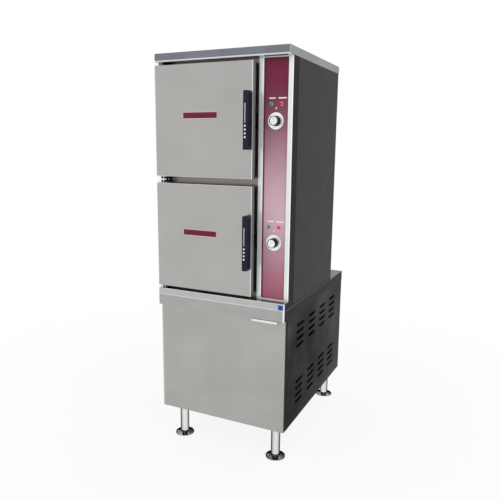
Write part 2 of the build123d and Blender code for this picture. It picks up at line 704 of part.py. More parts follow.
def door_gasket(bottom):
    """Rubber seal that closes on the frame plate round the compartment's opening."""
    middle = bottom + DOOR_HEIGHT / 2
    ys = DOOR_DEPTH + SHEET
    thick = FRAME_SETBACK - GASKET_AIR - ys
    place = Pos(DOOR_MIDDLE, middle)
    inside = (ROOM_WIDTH + 2 * GASKET_SETBACK, ROOM_HEIGHT + 2 * GASKET_SETBACK)
    inner = place * RectangleRounded(*inside, ROOM_RADIUS)
    outside = [size + 2 * GASKET_WIDTH for size in inside]
    outer = place * RectangleRounded(*outside, ROOM_RADIUS + GASKET_WIDTH)
    return Pos(0, ys, 0) * extrude(Plane.XZ * (outer - inner), amount=-thick)


def handle_grip(middle):
    """Black upright grip, hollowed from its left side for the fingers."""
    right = DOOR_RIGHT - GRIP_EDGE_INSET
    left = right - GRIP_WIDTH
    half = GRIP_HEIGHT / 2
    grip = block((left, right), (-GRIP_DEPTH, -GRIP_AIR), (middle - half, middle + half))
    grip = fillet(grip.edges().filter_by(Axis.Z), GRIP_RADIUS)
    hollow = half - GRIP_END
    scoop = (left - GRIP_WEB, right - GRIP_WEB)
    grip -= block(scoop, (-GRIP_DEPTH + GRIP_FACE, 0), (middle - hollow, middle + hollow))
    return grip - lever_arm(middle)


def lever_arm(middle):
    """The lever's flat arm, from inside the grip back to its nose beside the roller."""
    xs = (LEVER_X - LEVER_WIDTH / 2, LEVER_X + LEVER_WIDTH / 2)
    ys = (-GRIP_AIR - LEVER_BITE, FRAME_SETBACK - LEVER_NOSE_AIR)
    half = LEVER_HEIGHT / 2
    return block(xs, ys, (middle - half, middle + half))


def latch_lever(middle):
    """Steel latch lever with its pivot pin and a nose that reaches the roller."""
    reach = LEVER_HEIGHT / 2 + LATCH_EAR_REACH + LATCH_EAR
    pin = rod(PIN_RADIUS, (LEVER_X, LEVER_DEPTH, middle - reach), (LEVER_X, LEVER_DEPTH, middle + reach))
    nose_right = roller_x() - ROLLER_RADIUS - ROLLER_AIR
    nose = NOSE_HEIGHT / 2
    ys = (DOOR_DEPTH + 2 * SHEET, FRAME_SETBACK - LEVER_NOSE_AIR)
    return lever_arm(middle) + pin + block((LEVER_X, nose_right), ys, (middle - nose, middle + nose))


# Controls

def timer(middle):
    """Mechanical timer behind the panel, with a threaded bush and a bore for its shaft."""
    half = TIMER_WIDTH / 2
    back = PANEL_FRONT + SHEET
    xs = (CONTROL_X - half, CONTROL_X + half)
    body = block(xs, (back, back + TIMER_DEPTH), (middle - half, middle + half))
    body += rod(TIMER_BUSH_RADIUS, (CONTROL_X, PANEL_FRONT - SEAT_AIR, middle), (CONTROL_X, back, middle))
    bore = SHAFT_RADIUS + RUNNING_AIR
    return body - rod(bore, (CONTROL_X, COLUMN_SETBACK, middle), (CONTROL_X, back + TIMER_DEPTH / 2, middle))


def timer_shaft(middle):
    """Shaft from inside the timer to inside the knob."""
    end = PANEL_FRONT + SHEET + TIMER_DEPTH / 2 - SEAT_AIR
    start = knob_front() + KNOB_LENGTH / 2
    return rod(SHAFT_RADIUS, (CONTROL_X, start, middle), (CONTROL_X, end, middle))


def dial_front():
    """The y of the dial's front face."""
    return PANEL_FRONT - DIAL_AIR - DIAL_THICK


def knob_front():
    """The y of the knob's front face."""
    return dial_front() - KNOB_LENGTH


def dial(middle):
    """Thin dial disc that turns with the knob."""
    ys = (dial_front(), dial_front() + DIAL_THICK)
    disc = rod(DIAL_RADIUS, (CONTROL_X, ys[0], middle), (CONTROL_X, ys[1], middle))
    return disc - rod(SHAFT_RADIUS, (CONTROL_X, ys[0] - 1, middle), (CONTROL_X, ys[1] + 1, middle))


def knob(middle):
    """Black knob with a shallow seat for its bright cap, and the cap as a second solid."""
    start = (CONTROL_X, knob_front(), middle)
    end = (CONTROL_X, dial_front(), middle)
    body = rod(KNOB_RADIUS, start, end)
    front = body.edges().sort_by(Axis.Y)[0]
    body = chamfer(front, CAP_THICK)
    seat = (CONTROL_X, knob_front() + CAP_THICK / 2, middle)
    body -= rod(CAP_RADIUS, start, seat)
    body -= rod(SHAFT_RADIUS, (CONTROL_X, knob_front() + KNOB_LENGTH / 2, middle), end)
    cap = rod(CAP_RADIUS, (CONTROL_X, knob_front() - CAP_THICK / 2, middle), seat)
    return [body, cap]


def lamp(x, z):
    """Indicator lamp: bezel, domed lens and barrel through the panel."""
    lens_front = PANEL_FRONT - LAMP_STAND - LAMP_LENS_STAND
    body = rod(LAMP_RADIUS, (x, PANEL_FRONT - LAMP_STAND, z), (x, PANEL_FRONT, z))
    body += rod(LAMP_BARREL, (x, PANEL_FRONT, z), (x, PANEL_FRONT + LAMP_DEPTH, z))
    lens = rod(LAMP_LENS_RADIUS, (x, lens_front, z), (x, PANEL_FRONT - LAMP_STAND, z))
    lens = fillet(lens.edges().sort_by(Axis.Y)[0], LAMP_LENS_STAND * 0.6)
    return body + lens


# Steam and drain in the upper body

def steam_pipes():
    """Riser from the boiler with a tee at each compartment, and a nozzle pipe beyond each valve."""
    start = (BOILER_X, STEAM_OUT_Y, BOILER_TOP + NOZZLE_HEIGHT)
    corner = (BOILER_X, STEAM_OUT_Y, STEAM_TURN_Z)
    turn = (RISER_X, STEAM_OUT_Y, STEAM_TURN_Z)
    end = (RISER_X, STEAM_OUT_Y, DOOR_MIDDLES[1] + 2 * STEAM_PIPE_RADIUS)
    riser = bent_tube(STEAM_PIPE_RADIUS, PIPE_WALL, [start, corner, turn, end], STEAM_BEND)
    riser += rod(STEAM_PIPE_RADIUS, end, (RISER_X, STEAM_OUT_Y, end[2] + PIPE_WALL))
    pipes = []
    left, right = valve_span()
    for middle in DOOR_MIDDLES:
        tee = (right, STEAM_OUT_Y, middle), (RISER_X, STEAM_OUT_Y, middle)
        reach = 2 * STEAM_PIPE_RADIUS
        core = rod(STEAM_PIPE_RADIUS, (*tee[1][:2], middle - reach), (*tee[1][:2], middle + reach))
        riser += rod(BRANCH_RADIUS, *tee) - core
        riser -= rod(BRANCH_RADIUS - PIPE_WALL, *tee)
        inlet = (ROOM_RIGHT - NOZZLE_REACH, STEAM_OUT_Y, middle)
        pipes.append(tube(BRANCH_RADIUS, PIPE_WALL, inlet, (left, STEAM_OUT_Y, middle)))
    return [riser, *pipes]


def valve_span():
    """The steam valves' left and right ends."""
    middle = (ROOM_RIGHT + INSULATION + RISER_X) / 2
    return (middle - STEAM_VALVE_LENGTH / 2, middle + STEAM_VALVE_LENGTH / 2)


def steam_valve(middle):
    """Solenoid steam valve: body, stem and coil."""
    left, right = valve_span()
    body = rod(STEAM_VALVE_BODY, (left, STEAM_OUT_Y, middle), (right, STEAM_OUT_Y, middle))
    x = (left + right) / 2
    low = middle + STEAM_VALVE_BODY - STEAM_COIL_SEAT
    width, depth, height = STEAM_COIL
    ys = (STEAM_OUT_Y - depth / 2, STEAM_OUT_Y + depth / 2)
    body += block((x - width / 2, x + width / 2), ys, (low, low + height))
    top = low + height + LAMP_STAND
    return body + rod(STEAM_VALVE_BODY / 2, (x, STEAM_OUT_Y, middle), (x, STEAM_OUT_Y, top))


def drain_pipe():
    """Drain from both compartments down through the deck and out at the back of the base."""
    top = drain_height(DOOR_MIDDLES[1]) + DRAIN_RADIUS
    out = BASE_DEPTH + DRAIN_STUB
    pipe = rod(DRAIN_RADIUS, (DRAIN_X, DRAIN_Y, DRAIN_Z), (DRAIN_X, DRAIN_Y, top))
    pipe += rod(DRAIN_RADIUS, (DRAIN_X, DRAIN_FRONT_Y, DRAIN_Z), (DRAIN_X, out, DRAIN_Z))
    radius, length = DRAIN_COUPLING
    pipe += rod(radius, (DRAIN_X, BASE_DEPTH - length, DRAIN_Z), (DRAIN_X, BASE_DEPTH, DRAIN_Z))
    bore = DRAIN_RADIUS - DRAIN_WALL
    hollow = rod(bore, (DRAIN_X, DRAIN_Y, DRAIN_Z), (DRAIN_X, DRAIN_Y, top - DRAIN_WALL))
    hollow += rod(bore, (DRAIN_X, DRAIN_FRONT_Y + DRAIN_WALL, DRAIN_Z), (DRAIN_X, out + 1, DRAIN_Z))
    for middle in DOOR_MIDDLES:
        z = drain_height(middle)
        pipe += rod(DRAIN_HEAD / 2, (ROOM_RIGHT, DRAIN_Y, z), (DRAIN_X, DRAIN_Y, z))
        hollow += rod(DRAIN_HEAD / 2 - PIPE_WALL, (ROOM_RIGHT - 1, DRAIN_Y, z), (DRAIN_X, DRAIN_Y, z))
    blow = (blowdown_end(), BLOWDOWN_Y, DRAIN_Z)
    pipe += rod(STEAM_PIPE_RADIUS, blow, (DRAIN_X, BLOWDOWN_Y, DRAIN_Z))
    hollow += rod(STEAM_PIPE_RADIUS - PIPE_WALL, (blow[0] - 1, *blow[1:]), (DRAIN_X, BLOWDOWN_Y, DRAIN_Z))
    return pipe - hollow


def blowdown_end():
    """The x where the drain valve's body ends."""
    return BLOWDOWN_X + BLOWDOWN_BODY_LENGTH


# Base cabinet

def base_deck():
    """Cabinet top: a deep folded pan with holes for the two risers."""
    deck = pan((-HALF, HALF), (0, BASE_DEPTH), (DECK_BOTTOM, DECK_TOP), HEAVY_SHEET, "bottom")
    for radius, x, y in ((STEAM_PIPE_RADIUS, RISER_X, STEAM_OUT_Y), (DRAIN_RADIUS, DRAIN_X, DRAIN_Y)):
        hole = radius + PIPE_HOLE_AIR
        deck -= rod(hole, (x, y, DECK_BOTTOM), (x, y, DECK_TOP + SHEET))
    return deck


def louvre_places():
    """The y and z of every louvre's middle on a base side panel."""
    for column in range(LOUVRE_COLUMNS):
        y = LOUVRE_START + column * LOUVRE_PITCH + LOUVRE_LENGTH / 2
        for group in LOUVRE_GROUP_HEIGHTS:
            for row in range(LOUVRE_ROWS):
                yield y, LEG_HEIGHT + group + row * LOUVRE_ROW_PITCH


def louvre_prism(side, y, z, inset):
    """The wedge under a louvre's hood, or its hollow where inset is the sheet's thickness."""
    face = side * (BASE_SIDE - (2 * inset if inset else SHEET / 2))
    stand = side * (BASE_SIDE + LOUVRE_STAND - inset)
    low = z - LOUVRE_HEIGHT / 2 - (1.0 if inset else 0.0)
    high = z + LOUVRE_HEIGHT / 2 - inset
    outline = make_face(Polyline((face, low), (stand, low), (face, high), close=True))
    length = LOUVRE_LENGTH - 2 * inset
    prism = extrude(Plane.XZ * outline, amount=length / 2, both=True)
    return Pos(0, y, 0) * prism


def base_side_panel(side):
    """Base side with a flange at its top and pressed louvres that open downwards."""
    xs = sorted((side * BASE_SIDE, side * BASE_SIDE_INNER))
    flange = sorted((side * BASE_SIDE, side * (BASE_SIDE_INNER - STRIP_WIDTH / 2)))
    ys = (BASE_SIDE_START, BASE_DEPTH - SHEET)
    panel = block(xs, ys, (LEG_HEIGHT, DECK_BOTTOM))
    between = (RAIL_START + POST + SEAT_AIR, RAIL_END - POST - SEAT_AIR)
    panel += block(flange, between, (DECK_BOTTOM - SHEET, DECK_BOTTOM))
    hoods = [louvre_prism(side, y, z, 0) for y, z in louvre_places()]
    hollows = [louvre_prism(side, y, z, SHEET) for y, z in louvre_places()]
    return panel + hoods - hollows


def base_rear_panel():
    """Back of the base, with holes for the drain, the water valves and the cable gland."""
    ys = (BASE_DEPTH - SHEET, BASE_DEPTH)
    panel = block((-BASE_SIDE, BASE_SIDE), ys, (LEG_HEIGHT, DECK_BOTTOM))
    holes = [(DRAIN_COUPLING[0] + PIPE_HOLE_AIR, DRAIN_X, DRAIN_Z)]
    holes += [(FILL_NECK + PANEL_AIR, x, FILL_Z) for x in FILL_XS]
    holes.append((GLAND_BORE + SHEET + PANEL_AIR, GLAND_X, GLAND_Z))
    for radius, x, z in holes:
        panel -= rod(radius, (x, ys[0] - SHEET, z), (x, ys[1] + SHEET, z))
    return panel


def base_floor():
    """Floor sheet on the rails."""
    xs = (-RAIL_X, RAIL_X)
    return block(xs, (RAIL_START, RAIL_END), (FLOOR_Z, FLOOR_Z + SHEET))


def base_frame():
    """Bottom rails, corner posts, leg plates and the boiler's saddles."""
    zs = (RAIL_BOTTOM, FLOOR_Z)
    pieces = []
    for side in (-1, 1):
        xs = sorted((side * RAIL_X, side * (RAIL_X - RAIL)))
        pieces.append(rail(xs, (RAIL_START, RAIL_END), zs, 1))
    for start in (RAIL_START, RAIL_END - RAIL):
        xs = (-RAIL_X + RAIL, RAIL_X - RAIL)
        pieces.append(rail(xs, (start, start + RAIL), zs, 0))
    for side in (-1, 1):
        for y, back in ((RAIL_START, 1), (RAIL_END, -1)):
            pieces.append(post(side, y, back))
            pieces.append(leg_plate(side, y, back))
    pieces += [saddle(y) for y in (BOILER_FRONT + SADDLE_SETBACK, BOILER_BACK - SADDLE_SETBACK)]
    return pieces


def rail(xs, ys, zs, along):
    """A square tube rail along x or y."""
    inner = [(low + RAIL_WALL, high - RAIL_WALL) for low, high in (xs, ys, zs)]
    inner[along] = (xs, ys)[along]
    return block(xs, ys, zs) - block(*inner)


def post(side, y, back):
    """Corner post of angle section, from the floor sheet to the underside of the deck."""
    xs = sorted((side * RAIL_X, side * (RAIL_X - POST)))
    ys = sorted((y, y + back * POST))
    zs = (FLOOR_Z + SHEET, DECK_TOP - HEAVY_SHEET)
    inner_x = sorted((side * (RAIL_X - POST_WALL), side * (RAIL_X - 2 * POST)))
    inner_y = sorted((y + back * POST_WALL, y + back * 2 * POST))
    return block(xs, ys, zs) - block(inner_x, inner_y, zs)


def leg_plate(side, y, back):
    """Plate under the rails that a leg is screwed to."""
    xs = sorted((side * RAIL_X, side * (RAIL_X - LEG_PLATE_SIZE)))
    ys = sorted((y, y + back * LEG_PLATE_SIZE))
    return block(xs, ys, (LEG_HEIGHT, RAIL_BOTTOM))


def saddle(y):
    """Upright plate that the boiler lies in."""
    half = SADDLE_WIDTH / 2
    top = BOILER_Z - BOILER_RADIUS + SADDLE_RISE
    plate = block((BOILER_X - half, BOILER_X + half), (y, y + SADDLE_THICK), (FLOOR_Z + SHEET, top))
    return plate - rod(BOILER_RADIUS, (BOILER_X, y - 1, BOILER_Z), (BOILER_X, y + SADDLE_THICK + 1, BOILER_Z))


def leg_places():
    """The x and y of the four legs."""
    return [(x, y) for y in (LEG_FRONT_Y, LEG_REAR_Y) for x in (-LEG_X, LEG_X)]


def leg_tube(x, y):
    """Leg tube between the foot's neck and the leg plate."""
    return tube(LEG_RADIUS, LEG_WALL, (x, y, FOOT_NECK), (x, y, LEG_HEIGHT))


def foot(x, y):
    """Flanged foot: a coned disc with bolt holes, and a stem that screws up into the leg."""
    stem = LEG_RADIUS - LEG_WALL - RUNNING_AIR
    outline = [
        (0, 0),
        (FOOT_RADIUS, 0),
        (FOOT_RADIUS, FOOT_RIM),
        (FOOT_HUB, FOOT_CONE),
        (stem, FOOT_CONE),
        (stem, FOOT_NECK + FOOT_STEM),
        (0, FOOT_NECK + FOOT_STEM),
    ]
    profile = make_face(Plane.XZ * Polyline(*outline, close=True))
    turned = revolve(profile, Axis.Z)
    for number in range(FOOT_BOLTS):
        angle = math.radians(90 + number * 360 / FOOT_BOLTS)
        spot = (FOOT_BOLT_CIRCLE * math.cos(angle), FOOT_BOLT_CIRCLE * math.sin(angle))
        turned -= rod(FOOT_BOLT_RADIUS, (*spot, -1), (*spot, FOOT_NECK))
    return Pos(x, y, 0) * turned


def base_door_skin():
    """Cabinet door: a folded pan with an inner lip and pin holes at its left edge."""
    xs = (-BASE_SIDE, BASE_SIDE)
    ys = (BASE_DOOR_RECESS, BASE_DOOR_BACK)
    zs = (BASE_DOOR_BOTTOM, BASE_DOOR_TOP)
    skin = pan(xs, ys, zs, SHEET, "back")
    lip = block(xs, (ys[1] - SHEET, ys[1]), zs)
    window = (zs[0] + BASE_DOOR_LIP, zs[1] - BASE_DOOR_LIP)
    lip -= block((xs[0] + BASE_DOOR_LIP / 2, xs[1] - BASE_DOOR_LIP), (ys[0], ys[1] + SHEET), window)
    skin += lip
    hole = BASE_PIN_RADIUS + RUNNING_AIR
    skin -= rod(hole, (BASE_PIVOT_X, BASE_PIVOT_Y, zs[0] - 1), (BASE_PIVOT_X, BASE_PIVOT_Y, zs[1] + 1))
    return skin


def base_door_pull():
    """Bent finger pull under the deck's band: a root on the door, a roof and a face."""
    right = HALF - PULL_RIGHT_INSET
    xs = (right - PULL_LENGTH, right)
    top = BASE_DOOR_TOP
    pull = block(xs, (0, PULL_THICK), (top - PULL_HEIGHT, top))
    pull += block(xs, (0, BASE_DOOR_RECESS), (top - PULL_THICK, top))
    pull += block(xs, (BASE_DOOR_RECESS - PULL_THICK, BASE_DOOR_RECESS), (top - PULL_ROOT - PULL_HEIGHT, top))
    return pull


def base_door_hinges():
    """Two tabs with pins, one under the door and one behind the deck's front skirt."""
    hinges = []
    xs = (BASE_PIVOT_X - BASE_PIVOT_INSET / 2, BASE_PIVOT_X + BASE_PIVOT_INSET / 2)
    low = BASE_DOOR_BOTTOM - SEAT_AIR
    tab = block(xs, (BASE_PIVOT_Y - BASE_PIVOT_DEPTH / 2, RAIL_START + RAIL / 2), (low - BASE_TAB, low))
    tab -= block(xs, (RAIL_START, RAIL_START + RAIL), (LEG_HEIGHT, low + 1))
    pin = ((BASE_PIVOT_X, BASE_PIVOT_Y, low), (BASE_PIVOT_X, BASE_PIVOT_Y, low + BASE_PIN_LENGTH))
    hinges.append(tab + rod(BASE_PIN_RADIUS, *pin))
    high = BASE_DOOR_TOP + SEAT_AIR
    tab = block(xs, (BASE_PIVOT_Y - BASE_PIVOT_DEPTH / 2, RAIL_START), (high, high + BASE_TAB))
    pin = ((BASE_PIVOT_X, BASE_PIVOT_Y, high), (BASE_PIVOT_X, BASE_PIVOT_Y, high - BASE_PIN_LENGTH))
    hinges.append(tab + rod(BASE_PIN_RADIUS, *pin))
    return hinges


def base_door_catch():
    """Magnet catch on the right front post, just behind the door's lip."""
    width, depth, height = CATCH_SIZE
    right = RAIL_X
    top = BASE_DOOR_TOP - BASE_DOOR_LIP / 4
    front = BASE_DOOR_BACK + CATCH_AIR
    catch = block((right - width, right), (front, RAIL_START), (top - height, top))
    return catch


# Boiler and its fittings

def boiler_shell():
    """Lying boiler drum with flat ends, an element opening and three nozzles."""
    start, end = (BOILER_X, BOILER_FRONT, BOILER_Z), (BOILER_X, BOILER_BACK, BOILER_Z)
    drum = rod(BOILER_RADIUS, start, end)
    water_y = BOILER_BACK - BOILER_END
    inner = (BOILER_X, BOILER_FRONT + BOILER_END, BOILER_Z), (BOILER_X, water_y, BOILER_Z)
    upper = BOILER_TOP + NOZZLE_HEIGHT
    nozzles = [
        (STEAM_PIPE_RADIUS, STEAM_OUT_Y, upper),
        (SAFETY_RADIUS, SAFETY_Y, upper),
        (STEAM_PIPE_RADIUS, BLOWDOWN_Y, blowdown_top()),
    ]
    for radius, y, z in nozzles:
        drum += rod(radius, (BOILER_X, y, BOILER_Z), (BOILER_X, y, z))
    drum -= rod(BOILER_RADIUS - BOILER_WALL, *inner)
    drum -= rod(ELEMENT_HOLE, start, (BOILER_X, BOILER_FRONT + 2 * BOILER_END, BOILER_Z))
    for radius, y, z in nozzles:
        drum -= rod(radius - PIPE_WALL, (BOILER_X, y, BOILER_Z), (BOILER_X, y, z))
    return drum


def blowdown_top():
    """The z where the boiler's bottom nozzle meets the drain valve."""
    return BOILER_Z - BOILER_RADIUS - BLOWDOWN_NOZZLE


def heating_elements():
    """Bolted flange with three hairpin elements inside the boiler and their terminals in front."""
    front = BOILER_FRONT - ELEMENT_FLANGE
    place = (BOILER_X, front, BOILER_Z)
    flange = rod(ELEMENT_FLANGE_RADIUS, place, (BOILER_X, BOILER_FRONT, BOILER_Z))
    for row in (-1, 0, 1):
        z = BOILER_Z + row * ELEMENT_ROW
        flange += hairpin(z)
        for side in (-1, 1):
            x = BOILER_X + side * ELEMENT_SPREAD
            flange += rod(TERMINAL_RADIUS, (x, front - TERMINAL_LENGTH, z), (x, front, z))
    return flange


def hairpin(z):
    """One U-shaped element rod that lies in a level plane."""
    left, right = BOILER_X - ELEMENT_SPREAD, BOILER_X + ELEMENT_SPREAD
    start = BOILER_FRONT - ELEMENT_FLANGE / 2
    end = ELEMENT_END
    legs = rod(ELEMENT_RADIUS, (left, start, z), (left, end, z))
    legs += rod(ELEMENT_RADIUS, (right, start, z), (right, end, z))
    ring = Pos(BOILER_X, end, z) * Torus(ELEMENT_SPREAD, ELEMENT_RADIUS)
    half = block((left - POST, right + POST), (end, end + 2 * ELEMENT_SPREAD), (z - POST, z + POST))
    return legs + (ring & half)


def safety_valve():
    """Brass safety valve with a side outlet, and a fork with a pin for its test lever."""
    base = BOILER_TOP + NOZZLE_HEIGHT
    top = base + SAFETY_HEIGHT
    shoulder = top - SAFETY_RADIUS
    body = rod(SAFETY_RADIUS, (BOILER_X, SAFETY_Y, base), (BOILER_X, SAFETY_Y, shoulder))
    body += rod(SAFETY_RADIUS / 2, (BOILER_X, SAFETY_Y, base), (BOILER_X, SAFETY_Y, top - SEAT_AIR))
    z = base + SAFETY_HEIGHT / 3
    outlet = (BOILER_X - 2 * SAFETY_RADIUS, SAFETY_Y, z)
    body += rod(SAFETY_RADIUS * 0.6, (BOILER_X, SAFETY_Y, z), outlet)
    inner = SAFETY_LEVER[1] / 2 + SEAT_AIR
    y, z = safety_pivot()
    ys = (y - SAFETY_KNUCKLE, y + SAFETY_KNUCKLE)
    for side in (-1, 1):
        xs = sorted((BOILER_X + side * inner, BOILER_X + side * (inner + SAFETY_EAR)))
        body += block(xs, ys, (shoulder - SAFETY_EAR, z + SAFETY_KNUCKLE))
    return body + rod(SAFETY_PIN, (BOILER_X - inner, y, z), (BOILER_X + inner, y, z))


def safety_pivot():
    """The y and z of the test lever's pin."""
    z = BOILER_TOP + NOZZLE_HEIGHT + SAFETY_HEIGHT + SAFETY_LEVER[2] / 2
    return SAFETY_Y + SAFETY_RADIUS / 2 + SEAT_AIR + SAFETY_KNUCKLE, z


def safety_valve_lever():
    """Flat test lever with a knuckle that turns on the fork's pin."""
    length, width, thick = SAFETY_LEVER
    y, z = safety_pivot()
    xs = (BOILER_X - width / 2, BOILER_X + width / 2)
    lever = block(xs, (y - length, y), (z - thick / 2, z + thick / 2))
    lever += rod(SAFETY_KNUCKLE, (xs[0], y, z), (xs[1], y, z))
    return lever - rod(SAFETY_PIN + RUNNING_AIR, (xs[0] - 1, y, z), (xs[1] + 1, y, z))


def drain_valve():
    """Ball valve under the boiler, with an elbow up to the boiler's bottom nozzle."""
    radius = STEAM_PIPE_RADIUS
    valve = rod(radius, (BOILER_X, BLOWDOWN_Y, DRAIN_Z), (BOILER_X, BLOWDOWN_Y, blowdown_top()))
    valve += Pos(BOILER_X, BLOWDOWN_Y, DRAIN_Z) * Sphere(radius)
    valve += rod(radius, (BOILER_X, BLOWDOWN_Y, DRAIN_Z), (BLOWDOWN_X, BLOWDOWN_Y, DRAIN_Z))
    valve += rod(BLOWDOWN_BODY, (BLOWDOWN_X, BLOWDOWN_Y, DRAIN_Z), (blowdown_end(), BLOWDOWN_Y, DRAIN_Z))
    neck = (stem_x(), BLOWDOWN_Y - BLOWDOWN_BODY - BLOWDOWN_LEVER_AIR / 2, DRAIN_Z)
    valve += rod(2 * BLOWDOWN_STEM, neck, (stem_x(), BLOWDOWN_Y, DRAIN_Z))
    bore = BLOWDOWN_STEM + RUNNING_AIR
    end = (stem_x(), BLOWDOWN_Y - BLOWDOWN_BODY / 2, DRAIN_Z)
    return valve - rod(bore, (neck[0], neck[1] - 1, neck[2]), end)


def stem_x():
    """The x of the drain valve's stem."""
    return BLOWDOWN_X + BLOWDOWN_BODY_LENGTH / 2


def drain_valve_lever():
    """Lever with its stem. It stands upright while the valve is shut."""
    width, thick, length = BLOWDOWN_LEVER
    back = BLOWDOWN_Y - BLOWDOWN_BODY - BLOWDOWN_LEVER_AIR
    x = stem_x()
    zs = (DRAIN_Z - width / 2, DRAIN_Z + length)
    lever = block((x - width / 2, x + width / 2), (back - thick, back), zs)
    stem_end = BLOWDOWN_Y - BLOWDOWN_BODY / 2 - SEAT_AIR
    return lever + rod(BLOWDOWN_STEM, (x, back - thick, DRAIN_Z), (x, stem_end, DRAIN_Z))


def fill_valve(x):
    """Solenoid water valve behind the rear panel, with a hose thread that stands out of it."""
    width, depth, height = FILL_BODY
    back = BASE_DEPTH - SHEET
    zs = (FILL_Z - height / 2, FILL_Z + height / 2)
    body = block((x - width / 2, x + width / 2), (back - depth, back), zs)
    body += rod(FILL_NECK, (x, back, FILL_Z), (x, BASE_DEPTH, FILL_Z))
    body += rod(FILL_THREAD, (x, back, FILL_Z), (x, BASE_DEPTH + FILL_STUB, FILL_Z))
    coil = (FILL_Z + height / 2, FILL_Z + height / 2 + FILL_COIL_HEIGHT)
    body += block((x - width / 3, x + width / 3), (back - depth * 0.8, back - depth * 0.2), coil)
    return body - rod(FILL_BORE, (x, back - depth / 2, FILL_Z), (x, BASE_DEPTH + FILL_STUB + 1, FILL_Z))


def water_pipes():
    """A straight pipe to the boiler, and a bent one to the drain that cools what runs off."""
    start = BASE_DEPTH - SHEET - FILL_BODY[1]
    quench, feed = FILL_XS
    straight = tube(WATER_PIPE_RADIUS, WATER_PIPE_WALL, (feed, BOILER_BACK, FILL_Z), (feed, start, FILL_Z))
    turn = start - 2 * WATER_BEND
    points = [
        (quench, start, FILL_Z),
        (quench, turn, FILL_Z),
        (quench, turn, DRAIN_Z),
        (DRAIN_X - DRAIN_RADIUS + WATER_PIPE_RADIUS, turn, DRAIN_Z),
    ]
    bent = bent_tube(WATER_PIPE_RADIUS, WATER_PIPE_WALL, points, WATER_BEND)
    drain = rod(DRAIN_RADIUS, (DRAIN_X, DRAIN_FRONT_Y, DRAIN_Z), (DRAIN_X, BASE_DEPTH, DRAIN_Z))
    return [straight, bent - drain]


def control_box():
    """Sheet box on the right side of the base, with a cut-out for the rocker switch."""
    xs = (BOX_LEFT, BASE_SIDE_INNER)
    ys = (BOX_FRONT, BOX_FRONT + BOX_DEPTH)
    zs = (BOX_BOTTOM, BOX_BOTTOM + BOX_HEIGHT)
    inner = [(low + BOX_SHEET, high - BOX_SHEET) for low, high in (xs, ys, zs)]
    width, height = SWITCH
    x = switch_x()
    hole = (x - width / 2 - SWITCH_AIR, x + width / 2 + SWITCH_AIR)
    cut = (SWITCH_Z - height / 2 - SWITCH_AIR, SWITCH_Z + height / 2 + SWITCH_AIR)
    box = block(xs, ys, zs) - block(*inner)
    return box - block(hole, (ys[0] - 1, ys[0] + 2 * BOX_SHEET), cut)


def switch_x():
    """The x of the rocker switch, in the middle of the box's front."""
    return (BOX_LEFT + BASE_SIDE_INNER) / 2


def contactor(number):
    """One of two contactors on the box's back wall."""
    width, depth, height = CONTACTOR
    back = BOX_FRONT + BOX_DEPTH - BOX_SHEET
    x = switch_x() + (number - 0.5) * CONTACTOR_PITCH
    z = BOX_BOTTOM + height
    return block((x - width / 2, x + width / 2), (back - depth, back), (z, z + height))


def power_switch():
    """Rocker that lies tilted to off. It turns about a level axis in the box's front."""
    width, height = SWITCH
    half = height / 2
    rise = half * math.tan(math.radians(SWITCH_TILT))
    outline = [(-rise, -half), (0, 0), (-rise, half), (rise, half), (rise, -half)]
    face = make_face(Plane.YZ * Polyline(*outline, close=True))
    rocker = extrude(face, amount=width / 2, both=True)
    return Pos(switch_x(), BOX_FRONT - rise / 2, SWITCH_Z) * Rot(SWITCH_TILT, 0, 0) * rocker


def cable_gland():
    """Gland for the supply cable in the rear panel."""
    start = BASE_DEPTH + GLAND_STAND - GLAND_LENGTH
    gland = rod(GLAND_BORE + SHEET, (GLAND_X, start, GLAND_Z), (GLAND_X, BASE_DEPTH + GLAND_STAND, GLAND_Z))
    nut = extrude(Plane.XZ * RegularPolygon(GLAND_RADIUS, 6), amount=-GLAND_STAND / 2)
    gland += Pos(GLAND_X, BASE_DEPTH, GLAND_Z) * nut
    bore = ((GLAND_X, start - 1, GLAND_Z), (GLAND_X, BASE_DEPTH + GLAND_STAND + 1, GLAND_Z))
    return gland - rod(GLAND_BORE, *bore)


